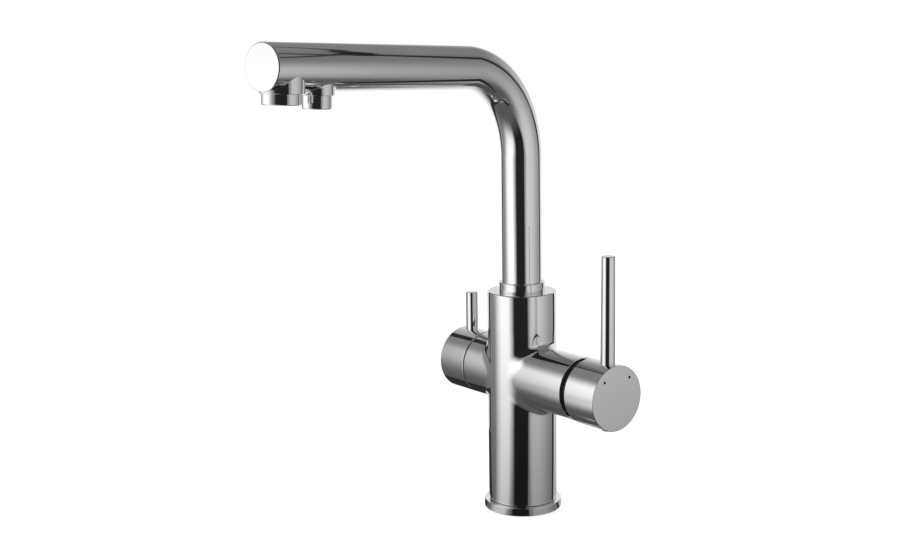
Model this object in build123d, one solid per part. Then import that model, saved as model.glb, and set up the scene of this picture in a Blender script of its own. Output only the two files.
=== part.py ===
from build123d import *
import os
from math import cos, radians, sin, sqrt, tan

# Three way filtered water tap: a round body with a cross arm, a single-lever mixing valve on one
# side, a quarter-turn filter valve on the other, and a swivelling spout with two outlets.
# Millimetres and degrees. The origin is the centre of the foot, on the worktop. +Z is up, +X runs
# out along the main lever's barrel, -X out along the filter lever's barrel, and -Y is the front.
# The spout stands a little off the front, towards the main lever.

# Fits
FIT = 0.1  # radial gap between fixed pieces that are screwed or pushed together
RUNNING_FIT = 0.07  # radial gap where a shaft, ring or tube turns
SEAL_GAP = 0.04  # gap between a ring seal and the walls of its seat
SEAL_GROOVE_SPARE = 0.4  # how much wider a seal's groove is than deep
CUT_PAST = 1.0  # how far a cut runs on past the surface it opens
SEAM = 0.4  # visible seam between the filter barrel and its branch

# Foot
FLANGE_DIAMETER = 54.3
FLANGE_HEIGHT = 6.3
FLANGE_ROUND = 0.7
FLANGE_GROOVE_WALL = 1.7  # metal left outside the gasket's groove
GASKET_WIDTH = 3.4
GASKET_HEIGHT = 2.0
SPIGOT_STEP = 3.5  # how far the body's spigot is set in from its side
SPIGOT_WALL = 2.5
FOOT_RECESS = 2.0  # height of the inlet block's underside over the worktop
INLET_BLOCK_HEIGHT = 22.0

# Inlets and stud, as bores of the threads' inner diameters
INLET_BORE = 9.0
INLET_DEPTH = 12.0
INLET_WALL = 2.9  # block left outside the inlets
STUD_BORE = 6.8
STUD_DEPTH = 16.0
CHANNEL_DIAMETER = 5.6
MIXED_WAY_WALL = 1.0  # between the mixed water's rise and the filtered water's nipple
INLET_SEAL_WIDTH = 1.8
INLET_SEAL_HEIGHT = 1.4
CAP_SCREW_DIAMETER = 3.0
CAP_SCREW_HEAD = 5.5
CAP_SCREW_HEAD_HEIGHT = 3.0
CAP_SCREW_BITE = 7.0  # thread length in the body
CAP_SCREW_WALL = 1.9

# Body
BODY_DIAMETER = 48.0
BODY_TOP = 156.5
BODY_TOP_ROUND = 0.9
BODY_FOOT_ROUND = 1.0
LEVER_AXIS_DROP = 58.9  # from the body's top to the levers' axis
BRANCH_FILLET = 5.0

# Spout
SPOUT_TURN = -77.3  # heading of the arm, from +X
SPOUT_DIAMETER = 27.94
SPOUT_WALL = 1.0
ARM_HEIGHT = 310.1  # where the column's and the arm's centrelines meet
ARM_SLOPE = 3.0
ARM_LENGTH = 243.6  # from the column's centreline to the end face
BEND_RADIUS = 64.0
COLLAR_HEIGHT = 6.5
COLLAR_WALL = 2.0
COLLAR_ROUND = 0.5
COLLAR_THREAD_WALL = 1.0
COLLAR_THREAD_LENGTH = 5.5
END_CAP_THICKNESS = 1.2
END_CAP_ROUND = 0.35
END_CAP_PLUG = 3.6

# Swivel, from the body's top down
SWIVEL_DEPTH = 26.5  # from the body's top to the shoulder under the spout's end piece
SWIVEL_CHAMBER_DEPTH = 6.0
SWIVEL_CHAMBER_STEP = 1.7
SHAFT_STEP = 2.0  # end piece's shaft inside the tube's outer side
SHOULDER_HEIGHT = 2.0
TUBE_PLUG = 8.0  # how far the end piece reaches up into the tube
BUSH_HEIGHT = 2.0
UPPER_BUSH_HEIGHT = 4.0
GROOVE_DEPTH = 1.65
GROOVE_WALL = 1.3  # end piece left behind its grooves
SHAFT_SEAL_HEIGHTS = (3.4, 6.9)  # over the shaft's lower end
DOG_GROOVE_HEIGHT = 11.5
DOG_DIAMETER = 2.4
RETAINING_SCREW_DIAMETER = 5.0
RETAINING_SCREW_SETBACK = 4.7  # from the body's side

# Filtered water's way through the swivel and the spout
STUB_DIAMETER = 8.0
STUB_BORE = 4.4
STUB_THREAD_STEP = 0.4
STUB_THREAD_LENGTH = 7.0
STUB_HEIGHT = 26.0
STUB_GROOVE_DEPTH = 0.9
STUB_SEAL_SPACING = 4.0
STUB_SEAL_SETBACK = 5.0
SOCKET_WALL = 1.5
SOCKET_OVERLAP = 17.0  # length of the socket on the stub
SOCKET_GRIP = 10.0  # length of the socket on the tube
SOCKET_TUBE_GAP = 2.0
FIN_COUNT = 3
FIN_THICKNESS = 2.0
FIN_HEIGHT = 12.0
WATER_TUBE_WALL = 1.0

# Outlets under the arm, measured square to it
MAIN_OUTLET_SETBACK = 15.6  # from the arm's end face to the main outlet's axis
MAIN_RING_INSET = 2.6  # ring's side inside the tube's side
MAIN_RING_DROP = 21.3  # arm's centreline to the ring's lower face
MAIN_RING_HEIGHT = 6.4
MAIN_BOSS_MARGIN = 1.0
MAIN_THREAD_LENGTH = 5.4
OUTLET_SPACING = 29.0  # between the two outlets' axes
FILTER_RING_INSET = 5.2
FILTER_RING_DROP = 24.1
FILTER_RING_HEIGHT = 8.0
FILTER_BOSS_MARGIN = 1.5
FILTER_THREAD_LENGTH = 6.0
MAIN_BOSS_FILLET = 0.7
FILTER_BOSS_FILLET = 1.6
BOSS_FILLET_SHARE = 0.8  # most of a boss's standing height that its fillet may take
RING_CHAMFER = 0.4
THREAD_STEP = 1.6  # ring's thread inside the ring's side
RING_WALL = 1.1
WASHER_HEIGHT = 1.0
WASHER_WIDTH = 2.2
INSERT_RECESS = 0.5
INSERT_WALL = 0.9
FILTER_INSERT_STEP = 1.0  # how far the smaller insert ends below its ring's shoulder
JET_DIAMETER = 1.5
JET_PITCH = 2.4
JET_PLATE = 2.0
SCREEN_THICKNESS = 0.5
ADAPTER_WALL = 1.2
ADAPTER_CROWN = 6.0  # adapter's top over the arm's centreline
ADAPTER_ROOF = 2.0
ADAPTER_CHAMBER_WALL = 2.5

# Main branch and mixing cartridge, measured outwards from the column's axis
MAIN_BRANCH_STEP = 2.4  # the branch's side inside the body's side
MAIN_BRANCH_END = 61.9
MAIN_BRANCH_WALL = 3.0
MAIN_POCKET_DEPTH = 31.9
CARTRIDGE_LENGTH = 22.0  # can, without its neck
CARTRIDGE_STEP = 1.0
CAN_WALL = 1.2
CAN_BASE = 3.0
FIXED_DISC_THICKNESS = 5.0
MOVING_DISC_THICKNESS = 3.8
MOVING_DISC_SPARE = 0.9  # room left round the moving disc at the end of its slide
MIXING_POCKET_DEPTH = 2.0
MIXING_POCKET_WIDTH = 1.36  # times the moving disc's radius
MIXING_POCKET_HEIGHT = 0.84
MIXING_POCKET_LAP = 1.0  # disc left between the pocket and the closed inlet ports
CARRIER_THICKNESS = 4.1
ROTOR_FLANGE = 2.8
ROTOR_DIAMETER = 19.0
ROTOR_FLANGE_STEP = 1.7
NECK_WALL = 1.9
NECK_LENGTH = 10.0
ROTOR_OVERHANG = 2.0
ROTOR_SEAL_PLACE = 4.0
MIXER_PORT_DIAMETER = 4.8
MIXER_PORT_OFFSET = 6.0
OUTLET_PORT_OFFSET = 7.0
PORT_SEAL_WIDTH = 1.4
PORT_SEAL_HEIGHT = 1.2
RETAINING_NUT_LENGTH = 5.5
NUT_SLOT = 4.0
NUT_SLOT_COUNT = 4
DOME_GAP = 0.75  # dome inside the barrel's bore
DOME_WALL = 1.2
DOME_OPENING = 24.0
PIVOT_SETBACK = 1.9  # lever's pivot inside the branch's end
LEVER_TILT = 12.0  # full travel of the flow lever
PIVOT_PIN_DIAMETER = 3.0
SPINDLE_SIZE = 8.0
SPINDLE_ARM_SIZE = 4.0
SPINDLE_TIP_DIAMETER = 4.8
SPINDLE_CLEARANCE = 0.15  # each side, in the rotor's slot and in the carrier
SPINDLE_SETBACK = 0.4  # from the floor of a barrel's socket
CARRIER_PIN_DIAMETER = 2.0

# Main lever
GROOVE_WIDTH = 5.16  # between the branch's end and the barrel
MAIN_BARREL_STEP = 0.65  # the barrel's side outside the branch's side
MAIN_BARREL_LENGTH = 27.4
BARREL_WALL = 2.3
BARREL_END = 3.5
BARREL_ROUND = 0.5
HUB_DIAMETER = 19.0
MAIN_HUB_LENGTH = 10.0
MAIN_PIN_PLACE = 18.54  # from the barrel's open end
MAIN_PIN_FOOT = 9.8
MAIN_PIN_HEAD = 9.1
MAIN_PIN_REACH = 94.0  # from the levers' axis to the pin's top
PIN_ROUND = 0.6
PIN_SEAT = 1.45
PIN_THREAD = 6.0
HUB_GRIP = 5.0  # where the pins' threads start, from the barrel's axis
GRUB_DIAMETER = 5.0
GRUB_SOCKET = 2.5
GRUB_SOCKET_DEPTH = 2.5
PLUG_DIAMETER = 8.5
PLUG_PROUD = 1.2
PLUG_ROUND = 1.0
DOT_DIAMETER = 2.0
DOT_CIRCLE = 17.0
DOT_ANGLE = 41.5
DOT_DEPTH = 0.6

# Filter branch, headwork and lever
FILTER_BRANCH_STEP = 1.7  # the branch's side inside the body's side
FILTER_BRANCH_END = 38.6
FILTER_POCKET_DEPTH = 22.6
FILTER_POCKET_DIAMETER = 25.0
CHAMBER_WALL = 2.5
CHAMBER_START = 3.0  # from the pocket's floor
CHAMBER_LENGTH = 8.0
FILTER_WAY_DROP = 1.0  # from the nipple's foot to the filtered water's cross way
SEAT_SEAL_HEIGHT = 2.0
SEAT_SEAL_WIDTH = 4.0
HEADWORK_WALL = 2.5
HEADWORK_SETBACK = 0.3
HEADWORK_DISC_THICKNESS = 3.0
HEADWORK_PORT_DIAMETER = 4.4
HEADWORK_PORT_OFFSET = 5.0
HEADWORK_FLANGE_DIAMETER = 32.0
HEADWORK_FLANGE_THICKNESS = 2.4
HEADWORK_HEX = 22.0
HEADWORK_HEX_LENGTH = 5.0
HEADWORK_STEM_DIAMETER = 12.0
HEADWORK_SEAL_DEPTH = 1.1
HEADWORK_SEAL_PLACE = 6.0  # ring seals, inside the flange
FILTER_BARREL_LENGTH = 25.85
FILTER_HUB_LENGTH = 12.85
FILTER_PIN_PLACE = 16.2
FILTER_PIN_DIAMETER = 8.7
FILTER_PIN_REACH = 49.6
FILTER_PIN_THREAD = 5.0

# Worked out: foot and body
body_radius = BODY_DIAMETER / 2
flange_radius = FLANGE_DIAMETER / 2
spigot_radius = body_radius - SPIGOT_STEP
foot_recess_radius = spigot_radius - SPIGOT_WALL
block_radius = foot_recess_radius - FIT
block_top = FOOT_RECESS + INLET_BLOCK_HEIGHT
inlet_circle = block_radius - INLET_WALL - INLET_BORE / 2
inlet_offset = inlet_circle * cos(radians(45))
cap_screw_circle = block_radius - CAP_SCREW_WALL - CAP_SCREW_HEAD / 2
channel_radius = CHANNEL_DIAMETER / 2
HOT_INLET = (-inlet_offset, inlet_offset)
COLD_INLET = (inlet_offset, -inlet_offset)
FILTER_INLET = (-inlet_offset, -inlet_offset)
STUD_PLACE = (inlet_offset, inlet_offset)

# Worked out: spout and swivel
tube_radius = SPOUT_DIAMETER / 2
tube_bore_radius = tube_radius - SPOUT_WALL
shaft_radius = tube_radius - SHAFT_STEP
swivel_radius = shaft_radius + RUNNING_FIT
swivel_floor = BODY_TOP - SWIVEL_DEPTH
chamber_floor = swivel_floor - SWIVEL_CHAMBER_DEPTH
shaft_bottom = swivel_floor + BUSH_HEIGHT
collar_bore_radius = tube_radius + RUNNING_FIT
collar_thread_radius = collar_bore_radius + COLLAR_THREAD_WALL
collar_radius = collar_bore_radius + COLLAR_WALL
collar_bottom = BODY_TOP - COLLAR_THREAD_LENGTH
shoulder_top = collar_bottom + FIT + BUSH_HEIGHT / 2
shoulder_bottom = shoulder_top - SHOULDER_HEIGHT
upper_bush_bottom = shoulder_bottom - UPPER_BUSH_HEIGHT
shaft_bore_radius = shaft_radius - GROOVE_DEPTH - GROOVE_WALL
dog_height = shaft_bottom + DOG_GROOVE_HEIGHT
stub_radius = STUB_DIAMETER / 2
stub_top = chamber_floor + STUB_HEIGHT
socket_bore_radius = stub_radius + RUNNING_FIT
socket_radius = socket_bore_radius + SOCKET_WALL
water_tube_start = stub_top + SOCKET_TUBE_GAP
stub_bottom = chamber_floor - STUB_THREAD_LENGTH
filter_way_height = stub_bottom - FILTER_WAY_DROP
mixed_way_place = stub_radius + MIXED_WAY_WALL + channel_radius

# Worked out: outlets
main_outlet_place = ARM_LENGTH - MAIN_OUTLET_SETBACK
filter_outlet_place = main_outlet_place - OUTLET_SPACING
main_ring_radius = tube_radius - MAIN_RING_INSET
main_boss_radius = main_ring_radius + MAIN_BOSS_MARGIN
main_boss_drop = MAIN_RING_DROP - MAIN_RING_HEIGHT
main_thread_radius = main_ring_radius - THREAD_STEP
filter_ring_radius = tube_radius - FILTER_RING_INSET
filter_boss_radius = filter_ring_radius + FILTER_BOSS_MARGIN
filter_boss_drop = FILTER_RING_DROP - FILTER_RING_HEIGHT
adapter_radius = filter_ring_radius - ADAPTER_WALL
filter_thread_radius = adapter_radius - ADAPTER_WALL
adapter_chamber_radius = adapter_radius - ADAPTER_CHAMBER_WALL

# Worked out: main side
lever_axis = BODY_TOP - LEVER_AXIS_DROP
main_branch_radius = body_radius - MAIN_BRANCH_STEP
nut_bore_radius = main_branch_radius - MAIN_BRANCH_WALL
nut_radius = nut_bore_radius - FIT
can_radius = nut_radius - CARTRIDGE_STEP
can_cavity_radius = can_radius - CAN_WALL
can_start = MAIN_BRANCH_END - MAIN_POCKET_DEPTH
can_end = can_start + CARTRIDGE_LENGTH
fixed_disc_start = can_start + CAN_BASE
moving_disc_start = fixed_disc_start + FIXED_DISC_THICKNESS
carrier_start = moving_disc_start + MOVING_DISC_THICKNESS
carrier_end = carrier_start + CARRIER_THICKNESS
rotor_start = carrier_end + 2 * FIT
rotor_shoulder = rotor_start + ROTOR_FLANGE
rotor_radius = ROTOR_DIAMETER / 2
rotor_flange_radius = rotor_radius + ROTOR_FLANGE_STEP
neck_bore_radius = rotor_radius + RUNNING_FIT
neck_radius = neck_bore_radius + NECK_WALL
neck_end = can_end + NECK_LENGTH
rotor_end = neck_end + ROTOR_OVERHANG
nut_end = can_end + RETAINING_NUT_LENGTH
pivot_place = MAIN_BRANCH_END - PIVOT_SETBACK
tip_place = carrier_end - FIT
tip_travel = (pivot_place - tip_place) * radians(LEVER_TILT)
moving_disc_radius = can_cavity_radius - tip_travel - MOVING_DISC_SPARE
main_barrel_radius = main_branch_radius + MAIN_BARREL_STEP
main_barrel_bore = main_barrel_radius - BARREL_WALL
main_barrel_start = MAIN_BRANCH_END + GROOVE_WIDTH
main_barrel_end = main_barrel_start + MAIN_BARREL_LENGTH
main_hub_end = main_barrel_end - BARREL_END
main_pin_place = main_barrel_start + MAIN_PIN_PLACE
dome_radius = main_barrel_bore - DOME_GAP
hub_radius = HUB_DIAMETER / 2
spindle_end = main_hub_end - SPINDLE_SETBACK
square_hole = SPINDLE_SIZE + 2 * FIT

# Worked out: filter side
filter_branch_radius = body_radius - FILTER_BRANCH_STEP
filter_pocket_radius = FILTER_POCKET_DIAMETER / 2
headwork_radius = filter_pocket_radius - FIT
headwork_bore_radius = headwork_radius - HEADWORK_WALL
filter_floor = FILTER_BRANCH_END - FILTER_POCKET_DEPTH
headwork_disc_radius = headwork_bore_radius - FIT
fixed_headwork_disc = filter_floor + SEAT_SEAL_HEIGHT
moving_headwork_disc = fixed_headwork_disc + HEADWORK_DISC_THICKNESS
headwork_driver = moving_headwork_disc + HEADWORK_DISC_THICKNESS
headwork_driver_end = headwork_driver + HEADWORK_DISC_THICKNESS
headwork_flange_end = FILTER_BRANCH_END + HEADWORK_FLANGE_THICKNESS
headwork_hex_end = headwork_flange_end + HEADWORK_HEX_LENGTH
headwork_seal_place = FILTER_BRANCH_END - HEADWORK_SEAL_PLACE
stem_radius = HEADWORK_STEM_DIAMETER / 2
stem_bore_radius = stem_radius + RUNNING_FIT
filter_chamber_start = filter_floor + CHAMBER_START
filter_chamber_end = filter_chamber_start + CHAMBER_LENGTH
filter_chamber_radius = filter_pocket_radius + CHAMBER_WALL
filter_barrel_start = FILTER_BRANCH_END + SEAM
filter_barrel_end = filter_barrel_start + FILTER_BARREL_LENGTH
filter_barrel_radius = filter_branch_radius
filter_barrel_bore = filter_barrel_radius - BARREL_WALL
filter_hub_end = filter_barrel_end - BARREL_END
filter_pin_place = filter_barrel_start + FILTER_PIN_PLACE


def upright(radius, low, high, x=0, y=0):
    """A round bar along Z, from one height to another."""
    return Pos(x, y, (low + high) / 2) * Cylinder(radius, abs(high - low))


def upright_ring(outer, inner, low, high, x=0, y=0):
    """A ring about an upright line."""
    return upright(outer, low, high, x, y) - upright(inner, low, high, x, y)


def lengthwise(radius, start, end, y=0, z=lever_axis):
    """A round bar along X, by default on the levers' axis."""
    return Pos((start + end) / 2, y, z) * Rot(0, 90, 0) * Cylinder(radius, abs(end - start))


def lengthwise_ring(outer, inner, start, end, y=0, z=lever_axis):
    """A ring about a line along X."""
    return lengthwise(outer, start, end, y, z) - lengthwise(inner, start, end, y, z)


def crosswise(radius, start, end, x, z):
    """A round bar along Y."""
    return Pos(x, (start + end) / 2, z) * Rot(90, 0, 0) * Cylinder(radius, abs(end - start))


def square_bar(size_y, size_z, start, end):
    """A rectangular bar along X on the levers' axis."""
    return Pos((start + end) / 2, 0, lever_axis) * Box(abs(end - start), size_y, size_z)


def hexagon_bar(flats, start, end):
    """A hexagon bar along X on the levers' axis."""
    bar = extrude(RegularPolygon(flats / 2, 6, major_radius=False), abs(end - start))
    return Pos(min(start, end), 0, lever_axis) * Rot(0, 90, 0) * bar


def key_socket(low, high, x, flats=GRUB_SOCKET):
    """An upright hexagon hole for a key."""
    return Pos(x, 0, low) * extrude(RegularPolygon(flats / 2, 6, major_radius=False), high - low)


def o_ring(floor_radius, wall_radius):
    """A ring seal about Z that fills the space between a groove's floor and a wall."""
    section = (wall_radius - floor_radius) / 2 - SEAL_GAP
    return Torus((wall_radius + floor_radius) / 2, section)


def seal_groove(floor_radius, wall_radius):
    """The groove about Z that such a ring lies in."""
    width = wall_radius - floor_radius + SEAL_GROOVE_SPARE
    return upright_ring(wall_radius + CUT_PAST, floor_radius, -width / 2, width / 2)


def circles(shape, radius, axis, place):
    """The edges that are circles of one radius at one place along an axis."""
    found = shape.edges().filter_by(GeomType.CIRCLE)
    found = [edge for edge in found if abs(edge.radius - radius) < 0.01]
    return [edge for edge in found if abs(getattr(edge.arc_center, axis) - place) < 0.01]


def seam_curves(shape):
    """The edges where two round bars run into each other."""
    plain = (GeomType.LINE, GeomType.CIRCLE)
    return [edge for edge in shape.edges() if edge.geom_type not in plain]


# Foot


def base_flange():
    """Turned ring under the body, with the gasket's groove in its underside."""
    bore = spigot_radius + FIT
    ring = upright_ring(flange_radius, bore, 0, FLANGE_HEIGHT)
    groove_outer = flange_radius - FLANGE_GROOVE_WALL
    groove_inner = groove_outer - GASKET_WIDTH
    ring -= upright_ring(groove_outer, groove_inner, 0, GASKET_HEIGHT)
    ring = fillet(circles(ring, flange_radius, "Z", FLANGE_HEIGHT), FLANGE_ROUND)
    return chamfer(circles(ring, flange_radius, "Z", 0), FLANGE_ROUND / 2)


def base_gasket():
    """Rubber ring, pressed level with the flange's underside."""
    outer = flange_radius - FLANGE_GROOVE_WALL
    return upright_ring(outer - FIT, outer - GASKET_WIDTH + FIT, 0, GASKET_HEIGHT)


def inlet_block():
    """Brass insert with three threaded inlets, the stud's hole and two counterbored screws."""
    block = upright(block_radius, FOOT_RECESS, block_top)
    for x, y in (HOT_INLET, COLD_INLET, FILTER_INLET):
        block -= upright(INLET_BORE / 2, FOOT_RECESS, FOOT_RECESS + INLET_DEPTH, x, y)
        block -= upright(channel_radius, FOOT_RECESS + INLET_DEPTH, block_top, x, y)
        seat = channel_radius + INLET_SEAL_WIDTH + FIT
        block -= upright(seat, block_top - INLET_SEAL_HEIGHT, block_top, x, y)
    x, y = STUD_PLACE
    block -= upright(STUD_BORE / 2, FOOT_RECESS, FOOT_RECESS + STUD_DEPTH, x, y)
    for side in (-1, 1):
        x = side * cap_screw_circle
        block -= upright(CAP_SCREW_DIAMETER / 2 + FIT, FOOT_RECESS, block_top, x)
        head_top = FOOT_RECESS + CAP_SCREW_HEAD_HEIGHT
        block -= upright(CAP_SCREW_HEAD / 2 + FIT, FOOT_RECESS, head_top, x)
    return block


def inlet_block_screws():
    """Two socket head screws, put in from below."""
    screws = Part()
    head_top = FOOT_RECESS + CAP_SCREW_HEAD_HEIGHT
    for side in (-1, 1):
        x = side * cap_screw_circle
        screw = upright(CAP_SCREW_HEAD / 2, FOOT_RECESS, head_top, x)
        screw += upright(CAP_SCREW_DIAMETER / 2, FOOT_RECESS, block_top + CAP_SCREW_BITE, x)
        screw -= key_socket(FOOT_RECESS, FOOT_RECESS + CAP_SCREW_HEAD_HEIGHT / 2, x)
        screws += screw
    return screws


def inlet_seals():
    """Flat ring seals between the insert's channels and the body's."""
    seals = Part()
    low = block_top - INLET_SEAL_HEIGHT
    for x, y in (HOT_INLET, COLD_INLET, FILTER_INLET):
        seals += upright_ring(channel_radius + INLET_SEAL_WIDTH, channel_radius, low, block_top, x, y)
    return seals


# Body


def water_ways():
    """The drillings inside the body: hot, cold and filtered in, mixed and filtered out."""
    port_height = lever_axis + MIXER_PORT_OFFSET
    port_radius = MIXER_PORT_DIAMETER / 2
    ways = Part()
    for (x, y), side in ((HOT_INLET, 1), (COLD_INLET, -1)):
        ways += upright(channel_radius, block_top, port_height, x, y)
        ways += lengthwise(port_radius, x, can_start, side * MIXER_PORT_OFFSET, port_height)
    outlet_height = lever_axis - OUTLET_PORT_OFFSET
    ways += lengthwise(port_radius, mixed_way_place, can_start, 0, outlet_height)
    ways += upright(channel_radius, outlet_height - port_radius, chamber_floor, mixed_way_place)
    x, y = FILTER_INLET
    ways += upright(channel_radius, block_top, lever_axis, x, y)
    ways += crosswise(channel_radius - FIT, y, 0, x, lever_axis)
    ways += lengthwise(channel_radius, x, -filter_floor)
    bore = STUB_BORE / 2
    rise = -(filter_chamber_start + filter_chamber_end) / 2
    ways += upright(bore, lever_axis + filter_pocket_radius, filter_way_height, rise)
    ways += lengthwise(bore - FIT, rise, 0, 0, filter_way_height)
    ways += upright(bore, filter_way_height - bore, chamber_floor)
    return ways


def swivel_cuts():
    """The stepped hole in the body's top for the spout's end piece, and its retaining screw's."""
    top = BODY_TOP + CUT_PAST
    thread_radius = stub_radius - STUB_THREAD_STEP + FIT
    return [
        upright(collar_thread_radius + FIT, upper_bush_bottom, top),
        upright(swivel_radius, swivel_floor, top),
        upright(swivel_radius - SWIVEL_CHAMBER_STEP, chamber_floor, top),
        upright(thread_radius, stub_bottom - FIT, top),
        crosswise(RETAINING_SCREW_DIAMETER / 2 + FIT, 0, body_radius + CUT_PAST, 0, dog_height),
    ]


def main_body():
    """Chromed brass body: a column and two side branches, filleted into it and machined inside."""
    outside = upright(body_radius, FLANGE_HEIGHT, BODY_TOP)
    outside += lengthwise(main_branch_radius, 0, MAIN_BRANCH_END)
    outside += lengthwise(filter_branch_radius, 0, -FILTER_BRANCH_END)
    outside = fillet(seam_curves(outside), BRANCH_FILLET)
    outside = fillet(circles(outside, body_radius, "Z", BODY_TOP), BODY_TOP_ROUND)
    outside = fillet(circles(outside, body_radius, "Z", FLANGE_HEIGHT), BODY_FOOT_ROUND)
    body = outside + upright(spigot_radius, FOOT_RECESS, FLANGE_HEIGHT)
    body -= upright(foot_recess_radius, FOOT_RECESS, block_top)
    for side in (-1, 1):
        x = side * cap_screw_circle
        deep = block_top + CAP_SCREW_BITE + FIT
        body -= upright(CAP_SCREW_DIAMETER / 2 + FIT, block_top, deep, x)
    body -= lengthwise(can_radius + FIT, can_start, can_end)
    body -= lengthwise(nut_bore_radius, can_end, MAIN_BRANCH_END)
    body -= lengthwise(filter_pocket_radius, -filter_floor, -FILTER_BRANCH_END)
    body -= lengthwise(filter_chamber_radius, -filter_chamber_start, -filter_chamber_end)
    for cut in swivel_cuts():
        body -= cut
    return body - water_ways()


def spout_collar():
    """Ring nut on the body's top, in which the spout's tube turns."""
    high = BODY_TOP + COLLAR_HEIGHT
    collar = upright(collar_radius, BODY_TOP, high)
    collar = fillet(circles(collar, collar_radius, "Z", high), COLLAR_ROUND)
    collar += upright(collar_thread_radius, collar_bottom, BODY_TOP)
    return collar - upright(collar_bore_radius, collar_bottom, high)


def spout_retaining_screw():
    """Grub screw in the back of the body; its dog point runs in the spout's groove."""
    tip = shaft_radius - GROOVE_DEPTH + 3 * FIT
    start = swivel_radius + 3 * FIT
    end = body_radius - RETAINING_SCREW_SETBACK
    screw = crosswise(RETAINING_SCREW_DIAMETER / 2, start, end, 0, dog_height)
    screw += crosswise(DOG_DIAMETER / 2, tip, start, 0, dog_height)
    socket = extrude(RegularPolygon(GRUB_SOCKET / 2, 6, major_radius=False), GRUB_SOCKET_DEPTH)
    return screw - Pos(0, end, dog_height) * Rot(90, 0, 0) * socket


def lower_swivel_bush():
    """Plastic thrust ring under the spout's end piece."""
    inner = swivel_radius - SWIVEL_CHAMBER_STEP
    return upright_ring(swivel_radius - FIT, inner, swivel_floor, shaft_bottom)


def upper_swivel_bush():
    """Plastic ring that carries the spout's shoulder and guides its shaft."""
    return upright_ring(collar_thread_radius, swivel_radius, upper_bush_bottom, shoulder_bottom)


def stub_seal_heights():
    """Where the two ring seals lie on the stub."""
    upper = stub_top - STUB_SEAL_SETBACK
    return (upper, upper - STUB_SEAL_SPACING)


def filtered_water_stub():
    """Brass nipple screwed into the body on the spout's axis; the filtered water rises in it."""
    stub = upright(stub_radius, chamber_floor, stub_top)
    stub += upright(stub_radius - STUB_THREAD_STEP, stub_bottom, chamber_floor)
    for height in stub_seal_heights():
        stub -= Pos(0, 0, height) * seal_groove(stub_radius - STUB_GROOVE_DEPTH, stub_radius)
    return stub - upright(STUB_BORE / 2, stub_bottom, stub_top)


def stub_o_rings():
    """Two small ring seals on the stub."""
    ring = o_ring(stub_radius - STUB_GROOVE_DEPTH, socket_bore_radius)
    return Part() + [Pos(0, 0, height) * ring for height in stub_seal_heights()]


# Mixing cartridge, fixed pieces


def mixer_ports(radius, start, end):
    """The hot, cold and mixed water holes through the cartridge's fixed pieces."""
    high = lever_axis + MIXER_PORT_OFFSET
    low = lever_axis - OUTLET_PORT_OFFSET
    ports = Part()
    for y, z in ((MIXER_PORT_OFFSET, high), (-MIXER_PORT_OFFSET, high), (0, low)):
        ports += lengthwise(radius, start, end, y, z)
    return ports


def cartridge_housing():
    """Plastic can with its neck; the ceramic discs lie in the can, the rotor in the neck."""
    housing = lengthwise(can_radius, can_start, can_end)
    housing += lengthwise(neck_radius, can_end, neck_end)
    housing -= lengthwise(can_cavity_radius, fixed_disc_start, carrier_end + FIT)
    housing -= lengthwise(rotor_flange_radius + FIT, carrier_end, rotor_shoulder + FIT)
    housing -= lengthwise(neck_bore_radius, rotor_shoulder, neck_end)
    housing -= mixer_ports(MIXER_PORT_DIAMETER / 2, can_start, fixed_disc_start)
    seat = MIXER_PORT_DIAMETER / 2 + PORT_SEAL_WIDTH + FIT
    return housing - mixer_ports(seat, can_start, can_start + PORT_SEAL_HEIGHT)


def cartridge_base_seals():
    """Three flat rings that seal the ports to the floor of the body's pocket."""
    port = MIXER_PORT_DIAMETER / 2
    end = can_start + PORT_SEAL_HEIGHT
    return mixer_ports(port + PORT_SEAL_WIDTH, can_start, end) - mixer_ports(port, can_start, end)


def cartridge_fixed_disc():
    """Ceramic disc with the three ports."""
    disc = lengthwise(can_cavity_radius - FIT, fixed_disc_start, moving_disc_start)
    return disc - mixer_ports(MIXER_PORT_DIAMETER / 2, fixed_disc_start, moving_disc_start)


def cartridge_retaining_nut():
    """Slotted ring that screws into the branch and clamps the cartridge."""
    nut = lengthwise_ring(nut_radius, neck_radius + FIT, can_end, nut_end)
    for index in range(NUT_SLOT_COUNT):
        slot = Box(NUT_SLOT, NUT_SLOT, nut_radius)
        turn = Rot(360 * index / NUT_SLOT_COUNT, 0, 0)
        nut -= Pos(nut_end, 0, lever_axis) * turn * Pos(0, 0, nut_radius) * slot
    return nut


def dome_cover():
    """Domed ring over the cartridge, centred on the lever's pivot so that the barrel clears it."""
    opening = DOME_OPENING / 2
    corner = (Align.MIN, Align.MIN)
    bow = Circle(dome_radius) - Circle(dome_radius - DOME_WALL)
    bow &= Pos(PIVOT_SETBACK, opening) * Rectangle(dome_radius, dome_radius, align=corner)
    foot_start = nut_end + 2 * FIT - pivot_place
    foot = Rectangle(PIVOT_SETBACK - foot_start, DOME_WALL, align=corner)
    section = bow + Pos(foot_start, nut_radius - DOME_WALL) * foot
    return Pos(pivot_place, 0, lever_axis) * revolve(Plane.XZ * section, Axis.X)


# Spout, drawn with its arm over +X and turned to its heading at the end


def arm_point(distance):
    """A point on the arm's centreline, by its distance from the column's."""
    slope = radians(ARM_SLOPE)
    return (distance * cos(slope), 0, ARM_HEIGHT + distance * sin(slope))


def on_arm(distance):
    """A place on the arm whose Z axis is square to it."""
    return Pos(*arm_point(distance)) * Rot(0, -ARM_SLOPE, 0)


def bent_bar(radius, low, distance):
    """A round bar up the column, round the bend and out along the arm."""
    path = FilletPolyline((0, 0, low), (0, 0, ARM_HEIGHT), arm_point(distance), radius=BEND_RADIUS)
    return sweep(Plane((0, 0, low)) * Circle(radius), path=path)


def turned(piece):
    """The piece at the spout's heading."""
    return Rot(0, 0, SPOUT_TURN) * piece


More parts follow.
